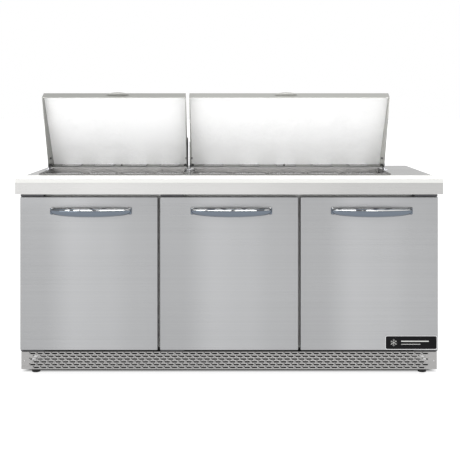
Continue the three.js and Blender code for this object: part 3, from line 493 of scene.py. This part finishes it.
def tube(bm, points, radius, sides=10, closed=False):
    """A round bar along a path."""
    points = [Vector(point) for point in points]
    count = len(points)
    loops = []
    side = None
    for i, point in enumerate(points):
        before = points[i - 1] if i or closed else point
        after = points[(i + 1) % count] if i + 1 < count or closed else point
        along = (after - before).normalized()
        if side is None:
            side = along.orthogonal().normalized()
        side = (side - along * side.dot(along)).normalized()
        other = along.cross(side)
        turns = [2 * math.pi * k / sides for k in range(sides)]
        loops.append([point + (side * math.cos(t) + other * math.sin(t)) * radius for t in turns])
    if closed:
        loops.append(loops[0])
        loft(bm, loops, (False, False))
        bmesh.ops.remove_doubles(bm, verts=bm.verts, dist=WELD)
    else:
        loft(bm, loops)


AXIS_RADIUS = 1e-5  # in metres; what a turned profile keeps where it reaches the axis


def lathe(bm, profile, place, axis=(0, 0, 1), sides=32):
    """Turns a profile of (radius, height) about an axis through a place."""
    axis = Vector(axis).normalized()
    side = axis.orthogonal().normalized()
    other = axis.cross(side)
    place = Vector(place)
    turns = [2 * math.pi * k / sides for k in range(sides)]
    loft(bm, [[place + axis * height + (side * math.cos(t) + other * math.sin(t)) * max(radius, AXIS_RADIUS)
               for t in turns] for radius, height in profile])


def screw(bm, place, axis, radius):
    """A domed head with a round socket."""
    profile = ((0, 0), (1, 0), (1, 0.25), (0.85, 0.5), (0.5, 0.62), (0.42, 0.62), (0.42, 0.2), (0, 0.2))
    lathe(bm, [(radius * out, radius * up) for out, up in profile], place, axis, 18)


def frame_sweep(bm, x, z, profile):
    """Runs a profile of (inwards, Y) round an upright rectangle, mitred at its corners."""
    corners = ((x[0], z[0], 1, 1), (x[1], z[0], -1, 1), (x[1], z[1], -1, -1), (x[0], z[1], 1, -1))
    loops = [[(corner_x + dx * inward, y, corner_z + dz * inward) for inward, y in profile]
             for corner_x, corner_z, dx, dz in corners]
    loft(bm, [*loops, loops[0]], (False, False))
    bmesh.ops.remove_doubles(bm, verts=bm.verts, dist=WELD)


# ---------------------------------------------------------------- doors

DOOR_RADIUS = 3 * MM
DOOR_CORNER = DOOR_RADIUS * 1.4  # of the skin's outline, seen from the front
DOOR_HEM, DOOR_SHEET = 2 * MM, 2.4 * MM
GASKET_WIDTH = 16 * MM


def door_skin(name):
    """A folded sheet front: rounded edges, open behind round the foamed core."""
    node = f"door_{name}_skin"
    low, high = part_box(node)

    def outline(inset, radius):
        return rounded_rectangle(low.x + inset, high.x - inset, low.z + inset, high.z - inset, radius, 4)

    rows = []
    for angle in (90, 67.5, 45, 22.5, 0):
        inset = DOOR_RADIUS - DOOR_RADIUS * math.cos(math.radians(angle))
        y = low.y + DOOR_RADIUS * (1 - math.sin(math.radians(angle)))
        rows.append((outline(inset, max(DOOR_CORNER - inset, 0.4 * MM)), y))
    rows.append((outline(0, DOOR_CORNER), high.y))
    rows += [(outline(DOOR_HEM, DOOR_RADIUS), y) for y in (high.y, low.y + DOOR_SHEET)]
    bm = bmesh.new()
    loft(bm, [[(x, y, z) for x, z in points] for points, y in rows])
    add_piece(node, bm, "door_steel", f"door_{name}", [node])


def door_gasket(name):
    """A soft magnetic seal with a bellows, in one run with mitred corners."""
    node = f"door_{name}_gasket"
    low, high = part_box(node)
    section = ((0, 0), (0, 0.3), (0.18, 0.45), (0.05, 0.62), (0.05, 0.86), (0.2, 1), (0.8, 1),
               (0.95, 0.86), (0.95, 0.62), (0.82, 0.45), (1, 0.3), (1, 0))
    profile = [(u * GASKET_WIDTH, low.y + v * (high.y - low.y)) for u, v in section]
    bm = bmesh.new()
    frame_sweep(bm, (low.x, high.x), (low.z, high.z), profile)
    add_piece(node, bm, "gasket", f"door_{name}", [node], 60)


# The grip's section, as (outwards, up) shares: sloped top, finger groove, front, underside.
GRIP_SECTION = (
    (-1, 0.5), (-0.7, 0.92), (-0.2, 1), (0.3, 0.92), (0.6, 0.8), (0.42, 0.7), (0.46, 0.6), (0.8, 0.53),
    (1, 0.36), (0.98, -0.12), (0.8, -0.42), (0.4, -0.76), (-0.2, -1), (-0.75, -0.88), (-1, -0.5), (-1, 0),
)
# What changes from the grip's ends to its middle: thickness, drop of the top, share of the height below it.
GRIP_THICK, GRIP_DROP, GRIP_DEPTH = (6 * MM, 7 * MM), (4 * MM, 1 * MM), (0.62, 1)
GRIP_BOW, GRIP_TURN, GRIP_STEPS = 0.8, 0.3, 56
EAR = {"width": 17 * MM, "depth": 13 * MM, "height": 32 * MM, "radius": 5 * MM}


def door_handle(name):
    """A chromed bow between two rounded ears; it arches out and hangs lower in the middle."""
    node = f"door_{name}_handle"
    low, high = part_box(node)
    middle = (low.x + high.x) / 2
    half = (high.x - low.x) / 2
    loops = []
    for i in range(GRIP_STEPS + 1):
        turn = math.pi * i / GRIP_STEPS
        out = math.sin(turn)
        thick = from_to(GRIP_THICK, out)
        x = middle - (half - thick - 1 * MM) * math.cos(turn)
        y = high.y - thick - (high.y - low.y - 2 * thick) * out ** GRIP_BOW
        top = high.z - from_to(GRIP_DROP, out)
        bottom = high.z - (high.z - low.z) * from_to(GRIP_DEPTH, out)
        tangent = Vector((math.sin(turn), -math.cos(turn) * GRIP_TURN, 0)).normalized()
        outward = Vector((tangent.y, -tangent.x, 0))
        centre = Vector((x, y, (top + bottom) / 2))
        loops.append([centre + outward * u * thick + Vector((0, 0, v * (top - bottom) / 2))
                      for u, v in GRIP_SECTION])
    bm = bmesh.new()
    loft(bm, loops)
    for x in (low.x, high.x - EAR["width"]):
        rounded_box(bm, (x, high.y - EAR["depth"], high.z - EAR["height"]),
                    (x + EAR["width"], high.y, high.z), EAR["radius"], 4)
    add_piece(node, bm, "chrome", f"door_{name}", [node], 60)


BADGE_CORNER, BADGE_CHAMFER = 6 * MM, (0.6 * MM, 0.4 * MM, 1 * MM)
BEZEL = (  # (inwards, Y) in millimetres
    (-3.2, 0), (-3.2, -1.6), (-2.6, -2.2), (-0.8, -2.2), (-0.2, -1.6), (-0.2, 0))
CRYSTAL = {"centre": 34 * MM, "arm": 15 * MM, "wire": 0.9 * MM,
           "fork": 0.55, "twig": 0.38, "twig_wire": 0.7 * MM}
BARS_START = 66 * MM
BARS = ((6 * MM, 120 * MM, 2.4 * MM), (-7 * MM, 84 * MM, 1.2 * MM))  # (height, length, half thickness)


def badge():
    """A black plate in a bright bezel, with a plain snow crystal beside two bars."""
    low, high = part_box("badge")

    def outline(inset, y):
        points = rounded_rectangle(
            low.x + inset, high.x - inset, low.z + inset, high.z - inset, BADGE_CORNER - inset, 6)
        return [(x, y, z) for x, z in points]

    inset, raised, side = BADGE_CHAMFER
    plate = bmesh.new()
    loft(plate, [outline(0, high.y), outline(0, low.y + side), outline(inset, low.y + raised)])
    add_piece("badge", plate, "badge_face", "door_right", ["badge"])

    border = bmesh.new()
    loft(border, [outline(inward * MM, high.y + y * MM) for inward, y in BEZEL], (False, False))
    add_piece("badge_bezel", border, "bright_edge", "door_right")

    motif = bmesh.new()
    face = low.y + 0.9 * MM
    middle = Vector((low.x + CRYSTAL["centre"], face, (low.z + high.z) / 2))

    def reach(degrees, length):
        angle = math.radians(degrees)
        return Vector((math.cos(angle), 0, math.sin(angle))) * length

    for degrees in range(30, 390, 60):
        tube(motif, [middle, middle + reach(degrees, CRYSTAL["arm"])], CRYSTAL["wire"], 6)
        start = middle + reach(degrees, CRYSTAL["arm"] * CRYSTAL["fork"])
        for side in (-50, 50):
            twig = reach(degrees + side, CRYSTAL["arm"] * CRYSTAL["twig"])
            tube(motif, [start, start + twig], CRYSTAL["twig_wire"], 6)
    for height, length, thick in BARS:
        z = middle.z + height
        rounded_box(motif, (low.x + BARS_START, low.y + 0.2 * MM, z - thick),
                    (low.x + BARS_START + length, face, z + thick), 0.3 * MM, 1)
    add_piece("badge_motif", motif, "print_white", "door_right")


# ---------------------------------------------------------------- grille and feet

GRILLE = {"rows": 6, "row_pitch": 12.2 * MM, "columns": 55, "pitch": 31.7 * MM, "sheet": 2 * MM}
SLOT = (23.6 * MM, 6.2 * MM)
NEARLY = 1e-7  # in metres, for telling whether a point lies on a line


def slotted_cell(bm, x, z, y, cell, steps=4):
    """One cell of sheet with a slot with round ends through it: front, back and the slot's wall."""
    radius = SLOT[1] / 2
    half = SLOT[0] / 2 - radius
    inner = []
    for centre, start in ((half, -90), (-half, 90)):
        for i in range(steps + 1):
            angle = math.radians(start + 180 * i / steps)
            inner.append((centre + radius * math.cos(angle), radius * math.sin(angle)))
    limit_x, limit_z = cell[0] / 2, cell[1] / 2
    outer = []
    for u, v in inner:
        away = abs(u) - half
        if away <= 1e-9:
            outer.append((u, math.copysign(limit_z, v)))
        else:
            scale = min(limit_z / max(abs(v), 1e-9), (limit_x - half) / away)
            outer.append((math.copysign(half + away * scale, u), v * scale))
    loft(bm, [[(x + u, depth, z + v) for u, v in outline] for outline, depth in (
        (outer, y[0]), (inner, y[0]), (inner, y[1]), (outer, y[1]))], (False, False))
    for u_sign in (-1, 1):
        for v_sign in (-1, 1):
            corner = (u_sign * limit_x, v_sign * limit_z)
            near = [(u, v) for u, v in outer if u * u_sign > half and v * v_sign > 0]
            beside = max(near, key=lambda p: abs(p[0]) - (abs(abs(p[0]) - limit_x) > NEARLY))
            above = (u_sign * half, v_sign * limit_z)
            for depth in y:
                bm.faces.new([bm.verts.new((x + u, depth, z + v)) for u, v in (beside, corner, above)])


def kick_grille():
    """A folded strip with six staggered rows of slots."""
    low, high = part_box("kick_grille")
    rows, row_pitch, pitch, sheet = (GRILLE[key] for key in ("rows", "row_pitch", "pitch", "sheet"))
    y = (low.y, low.y + sheet)
    middle = (low.z + high.z) / 2
    bm = bmesh.new()
    band = rows * row_pitch / 2
    for row in range(rows):
        z = middle + (row - (rows - 1) / 2) * row_pitch
        columns = GRILLE["columns"] - (row + 1) % 2
        for column in range(columns):
            x = (column - (columns - 1) / 2) * pitch
            slotted_cell(bm, x, z, y, (pitch, row_pitch))
        end = columns * pitch / 2
        for x0, x1 in ((low.x, -end), (end, high.x)):
            rounded_box(bm, (x0, y[0], z - row_pitch / 2), (x1, y[1], z + row_pitch / 2), 0)
    rounded_box(bm, (low.x, y[0], middle + band), (high.x, y[1], high.z), 0)
    rounded_box(bm, (low.x, y[0], low.z), (high.x, y[1], middle - band), 0)
    for z0, z1 in ((low.z, low.z + sheet), (high.z - sheet, high.z)):
        rounded_box(bm, (low.x, y[1], z0), (high.x, high.y, z1), 0)
    for x0, x1 in ((low.x, low.x + sheet), (high.x - sheet, high.x)):
        rounded_box(bm, (x0, y[1], low.z), (x1, high.y, high.z), 0)
    add_piece("kick_grille", bm, "grille_steel", "cabinet", ["kick_grille"], 20)

    screws = bmesh.new()
    for side in (-1, 1):
        screw(screws, (side * (high.x - 14 * MM), low.y, middle), (0, -1, 0), 3.4 * MM)
    add_piece("kick_grille_screws", screws, "screw_steel", "cabinet")


FOOT = {"pad": 21.5 * MM, "nut": 28 * MM, "nut_radius": 11 * MM, "ribs": (5, 9, 13)}  # ribs: heights in mm
THREAD = {"turns": 5, "pitch": 1.7 * MM, "root": 7.4 * MM, "crest": 8.6 * MM}


def foot(corner):
    """A levelling foot: rubber pad, steel hexagon and threaded stud."""
    node = f"foot_{corner}"
    low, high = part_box(node)
    base = ((low.x + high.x) / 2, (low.y + high.y) / 2, low.z)
    radius = (high.x - low.x) / 2
    profile = [(3, 0), (0.8, 0.8), (0, 3)]
    for z in FOOT["ribs"]:
        profile += [(0, z), (1, z + 1), (1, z + 2), (0, z + 3)]
    profile = [(radius - inward * MM, z * MM) for inward, z in [*profile, (0.6, 19)]]
    pad = bmesh.new()
    lathe(pad, [(0, 0), *profile, (radius - 4 * MM, FOOT["pad"]), (0, FOOT["pad"])], base, (0, 0, 1), 40)
    add_piece(node, pad, "black_rubber", "cabinet", [node], 45)

    stud = bmesh.new()
    lathe(stud, [(0, FOOT["pad"]), (FOOT["nut_radius"], FOOT["pad"]),
                 (FOOT["nut_radius"], FOOT["nut"]), (0, FOOT["nut"])], base, (0, 0, 1), 6)
    thread = [(0, FOOT["nut"])]
    for i in range(THREAD["turns"]):
        z = FOOT["nut"] + i * THREAD["pitch"]
        thread += [(THREAD["root"], z), (THREAD["crest"], z + THREAD["pitch"] / 2)]
    thread += [(THREAD["root"], high.z - low.z), (0, high.z - low.z)]
    lathe(stud, thread, base, (0, 0, 1), 20)
    add_piece(f"{node}_stud", stud, "galvanised", "cabinet", (), 30)


# ---------------------------------------------------------------- pans

PANS = {"left": 4, "right": 5}
PAN_GAP = 0.5 * MM
PAN_CORNER, PAN_CORNER_GROWS = 9 * MM, 0.6  # at the rim, and by how much of the inset it grows
RIM, END_DRAW = 6.5 * MM, 4 * MM  # the walls below the rim draw in more at the front and rear


def pan(side, row, column):
    """A sixth-size pan: rolled rim, rounded corners, walls that draw in, and a soft bottom edge."""
    node = f"pans_{side}_{row}"
    low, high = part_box(node)
    pitch = (high.x - low.x) / PANS[side]
    x0, x1 = low.x + column * pitch + PAN_GAP, low.x + (column + 1) * pitch - PAN_GAP
    depth = (high.z - low.z) / MM
    inside = ((24, depth - 1.2), (18.5, depth - 2.6), (15.8, depth - 6), (14.6, depth - 11), (9.3, 12),
              (8.8, 3.2), (8.4, 1.6), (7.6, 0.5), (6.2, 0), (1.4, 0), (0.5, 0.1), (0, 0.9), (0.4, 1.6))
    outside = ((1.6, 1.6), (7.6, 2.4), (8.2, 12), (13.5, depth - 11), (14.6, depth - 5.4),
               (17.5, depth - 1.6), (25, depth))
    rings = []
    for inset, down in ((across * MM, drop * MM) for across, drop in (*inside, *outside)):
        end = inset + (END_DRAW if inset > RIM else 0)
        outline = rounded_rectangle(x0 + inset, x1 - inset, low.y + end, high.y - end,
                                    PAN_CORNER + inset * PAN_CORNER_GROWS, 6)
        rings.append([(x, y, high.z - down) for x, y in outline])
    bm = bmesh.new()
    loft(bm, rings)
    body = node if row == "front" else "cabinet"
    add_piece(f"pan_{side}_{row}_{column + 1}", bm, "pan_steel", body, [node], 50)


# ---------------------------------------------------------------- lids

LID_LEAN = math.radians(63)
LID_PIVOT = Vector((0, 135.5, 919.5)) * MM
LID_CREST, LID_FOOT = Vector((-89.9, 92.5)), Vector((-31.4, -34.7))  # ends of the rear wall, as in on_lid
PULL = {"lip": 357.0, "reach": 11, "rounding": 0.6, "steps": 28}
PULL_EDGE = ((1.2, -24), (0.3, -23.4), (0, -22.4), (0, -18.6), (0.3, -17.6), (1.2, -17))  # (inset, up)
BUMPER_WAY = (0.9, 0.42)


def on_lid(x, forward, up):
    """A place on an open lid, from the closed lid's forward and up about its pivot, in millimetres."""
    y = -(forward * math.cos(LID_LEAN) - up * math.sin(LID_LEAN)) * MM
    z = (forward * math.sin(LID_LEAN) + up * math.cos(LID_LEAN)) * MM
    return Vector((x, LID_PIVOT.y + y, LID_PIVOT.z + z))


def lid_direction(forward, up):
    """A direction on an open lid, from the closed lid's forward and up."""
    return (on_lid(0, forward, up) - on_lid(0, 0, 0)).normalized()


def lid_pull(side):
    """A half-moon grip on the front lip, with a rounded edge."""
    node = f"lid_{side}_pull"
    low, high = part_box(node)
    middle = (low.x + high.x) / 2
    half = (high.x - low.x) / 2
    shares = [-1 + 2 * i / PULL["steps"] for i in range(PULL["steps"] + 1)]
    loops = []
    for inset, up in PULL_EDGE:
        bulge = PULL["reach"] - PULL["rounding"] - inset
        loops.append([on_lid(middle + t * (half - inset * MM), PULL["lip"] + (1 - t * t) * bulge, up)
                      for t in shares])
    bm = bmesh.new()
    loft(bm, loops)
    add_piece(node, bm, "hood_steel", f"lid_{side}", [node], 50)


def lid_fittings(side):
    """Rubber bumpers at the rear corners and a stop in the middle."""
    low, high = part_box(f"lid_{side}_shell")
    way = lid_direction(*BUMPER_WAY)
    bumpers = bmesh.new()
    for x in (low.x + 9 * MM, high.x - 9 * MM):
        profile = [(0, 0), (6, 0), (6.5, 1), (6, 7), (4.5, 9), (0, 9.4)]
        lathe(bumpers, [(radius * MM, height * MM) for radius, height in profile],
              on_lid(x, LID_FOOT.x + 7, LID_FOOT.y + 4), way, 20)
    pull_low, pull_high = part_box(f"lid_{side}_pull")
    profile = [(0, 0), (4, 0), (4.4, 1), (3.6, 6), (0, 7)]
    lathe(bumpers, [(radius * MM, height * MM) for radius, height in profile],
          on_lid((pull_low.x + pull_high.x) / 2, LID_FOOT.x + 5, LID_FOOT.y + 9), way, 18)
    add_piece(f"lid_{side}_bumpers", bumpers, "black_rubber", f"lid_{side}")


# The hoods' louvres, in millimetres: rows up the rear wall, a lip's ends as (along X, share of its swell),
# and its section as (up the wall, out of the wall).
LOUVRE_ROWS, LOUVRE_START, LOUVRE_PITCH, LOUVRE_FACE = 7, 42, 12, 2.0
LOUVRE_ENDS = ((-49, 0.25), (-47, 0.7), (-44, 1), (44, 1), (47, 0.7), (49, 0.25))
LOUVRE_SECTION = (
    (-2.6, 2.0), (-1.4, 4.4), (1.2, 5.2), (3.0, 4.6), (3.0, 3.8), (1.4, 4.3), (-0.8, 3.6), (-1.8, 2.0))


def lid_louvres(side):
    """Small pressed lips over the slots in the rear wall, one bank behind each pan."""
    low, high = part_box(f"pans_{side}_front")
    along = (LID_CREST - LID_FOOT).normalized()
    inward = Vector((along.y, -along.x))
    bm = bmesh.new()
    for column in range(PANS[side]):
        middle = from_to((low.x - 1 * MM, high.x + 1 * MM), (column + 0.5) / PANS[side])
        for row in range(LOUVRE_ROWS):
            base = LID_FOOT + along * (LOUVRE_START + row * LOUVRE_PITCH)
            loops = []
            for x, swell in LOUVRE_ENDS:
                points = [base + along * up + inward * from_to((LOUVRE_FACE, out), swell)
                          for up, out in LOUVRE_SECTION]
                loops.append([on_lid(middle + x * MM, *point) for point in points])
            loft(bm, loops)
    add_piece(f"lid_{side}_louvres", bm, "louvre_steel", f"lid_{side}", (), 60)


BOLT_PLACES = ((140 * MM, 885 * MM), (LID_PIVOT.y, LID_PIVOT.z), (140 * MM, 985 * MM))  # (Y, Z)
WASHER = ((0, 0), (8, 0), (8, 1.2), (0, 1.2))
BOLT_HEAD = ((0, 1.2), (5.6, 1.2), (5.6, 4.6), (4.8, 5.4), (0, 5.4))


def lid_bolts():
    """Bolt heads and washers on the hinge plates, and the folded front edges of the centre pair."""
    left_edge, right_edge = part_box("lid_left_shell")[1].x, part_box("lid_right_shell")[0].x
    low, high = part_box("lid_hinge_centre")
    near, far = 1 * MM, 5.2 * MM
    hems = bmesh.new()
    for x0, x1 in ((left_edge + near, left_edge + far), (right_edge - far, right_edge - near)):
        rounded_box(hems, (x0, low.y, low.z + 3 * MM), (x1, low.y + 2 * MM, high.z - 18 * MM), 0.8 * MM, 2)
    add_piece("lid_hinge_hems", hems, "hinge_steel", "cabinet")

    bolts = bmesh.new()
    for name, side in (("left", -1), ("right", 1)):
        low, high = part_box(f"lid_hinge_{name}")
        plate = (low.x if side < 0 else high.x) - side * 14 * MM
        for y, z in BOLT_PLACES:
            for profile, sides in ((WASHER, 24), (BOLT_HEAD, 6)):
                lathe(bolts, [(radius * MM, height * MM) for radius, height in profile],
                      (plate, y, z), (side, 0, 0), sides)
    add_piece("lid_hinge_bolts", bolts, "screw_steel", "cabinet")


# ---------------------------------------------------------------- worktop

def nosing_hem():
    """The folded bottom edge of the nosing."""
    low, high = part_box("worktop")
    radius = 1.6 * MM
    bm = bmesh.new()
    tube(bm, [(x, low.y + radius, low.z + radius) for x in (low.x + radius, high.x - radius)], radius, 12)
    add_piece("nosing_hem", bm, "top_steel", "cabinet", (), 60)


# ---------------------------------------------------------------- inside and behind

SHELF = {"corner": 16 * MM, "wire": 1.9 * MM, "wires": 24, "cross_wires": (0.25, 0.5, 0.75)}


def wire_shelf(name):
    """An epoxy-coated shelf: a round rim, close wires from front to back, and three cross wires."""
    node = f"shelf_{name}"
    low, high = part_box(node)
    radius = (high.z - low.z) / 2
    z = (low.z + high.z) / 2
    x0, x1, y0, y1 = low.x + radius, high.x - radius, low.y + radius, high.y - radius
    wire, count = SHELF["wire"], SHELF["wires"]
    bm = bmesh.new()
    rim = rounded_rectangle(x0, x1, y0, y1, SHELF["corner"], 5)
    tube(bm, [(x, y, z) for x, y in rim], radius, 10, True)
    for i in range(count):
        x = from_to((low.x, high.x), (i + 0.5) / count)
        tube(bm, [(x, y0, z + wire / 2), (x, y1, z + wire / 2)], wire, 8)
    for share in SHELF["cross_wires"]:
        y = from_to((low.y, high.y), share)
        tube(bm, [(x0, y, z - wire), (x1, y, z - wire)], wire * 0.9, 8)
    add_piece(node, bm, "shelf_coating", "cabinet", [node], 60)


BLADE = {"hub": 19 * MM, "chord": (0.9 * 22 * MM, 0.65 * 22 * MM), "swell": 8 * MM, "pitch": (38, 22),
         "sweep": 0.35, "half_thickness": 0.9 * MM, "camber": 2 * MM, "sections": 9, "points": 13}


def fan_blades(node, axis, blades):
    """A moulded fan with curved, twisted blades on a domed hub."""
    low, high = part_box(node)
    centre = (low + high) / 2
    axis = Vector(axis)
    side = axis.orthogonal().normalized()
    other = axis.cross(side)
    length = min(high - low)
    root, tip = BLADE["hub"] * 0.9, max(high - low) / 2 * 0.97
    profile = ((0, 0), (1, 0), (1, 0.8), (0.85, 0.95), (0, 1))
    bm = bmesh.new()
    lathe(bm, [(radius * BLADE["hub"], height * length) for radius, height in profile],
          centre - axis * length / 2, axis, 28)
    for blade in range(blades):
        loops = []
        for i in range(BLADE["sections"]):
            share = i / (BLADE["sections"] - 1)
            radius = from_to((root, tip), share)
            pitch = math.radians(from_to(BLADE["pitch"], share))
            chord = from_to(BLADE["chord"], share) + BLADE["swell"] * math.sin(math.pi * share)
            sweep = 2 * math.pi * blade / blades + BLADE["sweep"] * share * share
            loop = []
            for k in range(BLADE["points"]):
                angle = 2 * math.pi * k / BLADE["points"]
                u = math.cos(angle) * chord
                v = math.sin(angle) * BLADE["half_thickness"] + (1 - (u / chord) ** 2) * BLADE["camber"]
                turn = sweep + (u * math.cos(pitch) - v * math.sin(pitch)) / radius
                lift = u * math.sin(pitch) + v * math.cos(pitch)
                lift = max(-length * 0.46, min(length * 0.46, lift))
                out = side * math.cos(turn) + other * math.sin(turn)
                loop.append(centre + axis * lift + out * radius)
            loops.append(loop)
        loft(bm, loops)
    add_piece(node, bm, "black_plastic", node, [node], 60)


GUARD = {"rings": 6, "ring_wire": 1.1 * MM, "spoke_wire": 1.4 * MM, "overhang": 6 * MM, "points": 48}


def fan_guard(name, centre, axis, radius):
    """Concentric wires on four spokes."""
    axis = Vector(axis)
    side = axis.orthogonal().normalized()
    other = axis.cross(side)
    centre = Vector(centre)
    turns = [2 * math.pi * k / GUARD["points"] for k in range(GUARD["points"])]
    bm = bmesh.new()
    for ring in range(1, GUARD["rings"] + 1):
        size = radius * ring / GUARD["rings"]
        points = [centre + (side * math.cos(t) + other * math.sin(t)) * size for t in turns]
        tube(bm, points, GUARD["ring_wire"], 6, True)
    hub = centre - axis * GUARD["spoke_wire"]
    for degrees in range(45, 360, 90):
        turn = math.radians(degrees)
        out = side * math.cos(turn) + other * math.sin(turn)
        ends = (radius / GUARD["rings"], radius + GUARD["overhang"])
        tube(bm, [hub + out * end for end in ends], GUARD["spoke_wire"], 6)
    add_piece(name, bm, "screw_steel", "cabinet", (), 60)


# The rear cover's louvres, in millimetres: two banks, a hood's ends as (along X, share of its depth),
# and its section as (down, out).
REAR_BANKS, REAR_ROWS, REAR_SPAN = (-480, 480), 6, (170, 350)
REAR_ENDS = ((-130, 0.1), (-124, 0.8), (-116, 1), (116, 1), (124, 0.8), (130, 0.1))
REAR_SECTION = ((-5, 0), (-2, 3.4), (2, 5.2), (6, 5.6), (6, 4.6), (2.4, 4.2), (-1.4, 2.4), (-4, 0))


def rear_details():
    """Hoods over the cover's louvres and screws along its edges."""
    low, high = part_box("rear_cover")
    hoods = bmesh.new()
    for x in REAR_BANKS:
        for row in range(REAR_ROWS):
            z = from_to(REAR_SPAN, (row + 0.5) / REAR_ROWS)
            loft(hoods, [[((x + along) * MM, high.y + out * depth * MM, (z - down) * MM)
                          for down, out in REAR_SECTION] for along, depth in REAR_ENDS])
    add_piece("rear_cover_louvres", hoods, "galvanised", "cabinet", (), 50)
    screws = bmesh.new()
    for i in range(7):
        x = from_to((low.x + 20 * MM, high.x - 20 * MM), i / 6)
        for z in (low.z + 12 * MM, high.z - 12 * MM):
            screw(screws, (x, high.y, z), (0, 1, 0), 4 * MM)
    add_piece("rear_cover_screws", screws, "screw_steel", "cabinet")


def hinge_screws():
    """Two screws in each door hinge bracket."""
    bm = bmesh.new()
    for name in DOORS:
        for end in ("top", "bottom"):
            low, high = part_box(f"hinge_{name}_{end}")
            z = high.z - 12 * MM if end == "top" else low.z + 9 * MM
            for x in (low.x + 9 * MM, high.x - 9 * MM):
                screw(bm, (x, high.y - 3 * MM, z), (0, -1, 0), 3.6 * MM)
    add_piece("door_hinge_screws", bm, "hinge_steel", "cabinet")


def controller_face():
    """A dial with a pointer on the thermostat."""
    low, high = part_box("temperature_controller")
    centre = Vector((low.x, low.y + 26 * MM, (low.z + high.z) / 2))
    profile = ((0, 0), (14, 0), (14, 2), (11, 8), (10, 9), (0, 9))
    bm = bmesh.new()
    lathe(bm, [(radius * MM, height * MM) for radius, height in profile], centre, (-1, 0, 0), 32)
    pointer = [centre + Vector(corner) * MM for corner in ((-10, -1.2, 0), (-8.6, 1.2, 10))]
    rounded_box(bm, *pointer, 0.3 * MM, 1)
    add_piece("temperature_dial", bm, "print_white", "cabinet")


# ---------------------------------------------------------------- assembly

make_camera()
make_world()
make_floor()
area_light("overhead_strip", (-0.4, -2.7, 3.2), (0, -0.3, 0.8), (3.4, 0.5), 30)
area_light("front_left", (-2.6, -5.2, 1.9), (-0.3, 0, 0.7), (1.6, 2.2), 14)
area_light("hood_card", (-0.06, -0.43, 0.905), (-0.06, 0.12, 0.975), (2.4, 0.06), 4.8)
bpy.context.scene.view_settings.view_transform = "Standard"

# The nodes that keep their CAD mesh: material and width of the softened edges.
KEPT = {
    "base_frame": ("base_steel", 0),
    "outer_case": ("case_steel", 0),
    "inner_liner": ("liner", 0),
    "front_frame": ("frame_steel", 0.6 * MM),
    "worktop": ("top_steel", 0.6 * MM),
    "cutting_board": ("board", 1.8 * MM),
    "rear_cover": ("galvanised", 0),
    "power_inlet": ("black_plastic", 0.4 * MM),
    "pan_well": ("well_steel", 0.8 * MM),
    "lid_hinge_left": ("bracket_steel", 0.5 * MM),
    "lid_hinge_centre": ("bracket_steel", 0.5 * MM),
    "lid_hinge_right": ("bracket_steel", 0.5 * MM),
    "evaporator_housing": ("aluminium", 0),
    "evaporator_coil": ("aluminium", 0),
    "condenser_shroud": ("black_paint", 0),
    "condenser_coil": ("aluminium", 0),
    "compressor": ("black_paint", 1.5 * MM),
    "refrigerant_line": ("copper", 0),
    "temperature_controller": ("black_plastic", 2.5 * MM),
}
for name, (material, bevel) in KEPT.items():
    finish_node(name, material, bevel)
for side in SIDES:
    finish_node(f"pan_bar_{side}", "well_steel", 1 * MM)
    finish_node(f"lid_{side}_shell", "hood_steel", 0.6 * MM)
    finish_node(f"lid_{side}_liner", "hood_liner", 0.5 * MM)
for name in DOORS:
    finish_node(f"door_{name}_liner", "liner", 2 * MM)
    for end in ("bottom", "top"):
        finish_node(f"hinge_{name}_{end}", "hinge_steel", 0.5 * MM)

for name in DOORS:
    door_skin(name)
    door_gasket(name)
    door_handle(name)
    wire_shelf(name)
badge()
kick_grille()
for corner in ("front_left", "front_right", "rear_left", "rear_right"):
    foot(corner)
for side, count in PANS.items():
    for row in ("front", "rear"):
        for column in range(count):
            pan(side, row, column)
for side in SIDES:
    lid_pull(side)
    lid_fittings(side)
    lid_louvres(side)
lid_bolts()
nosing_hem()
fan_blades("evaporator_fan", (0, -1, 0), 5)
fan_blades("condenser_fan", (1, 0, 0), 5)
fan_centre = sum(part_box("evaporator_fan"), Vector()) / 2
guard_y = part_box("evaporator_housing")[0].y - 2 * MM
fan_guard("evaporator_fan_guard", (0, guard_y, fan_centre.z), (0, -1, 0), 86 * MM)
fan_centre = sum(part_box("condenser_fan"), Vector()) / 2
guard_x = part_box("condenser_shroud")[1].x + 2 * MM
fan_guard("condenser_fan_guard", (guard_x, fan_centre.y, fan_centre.z), (1, 0, 0), 94 * MM)
rear_details()
hinge_screws()
controller_face()
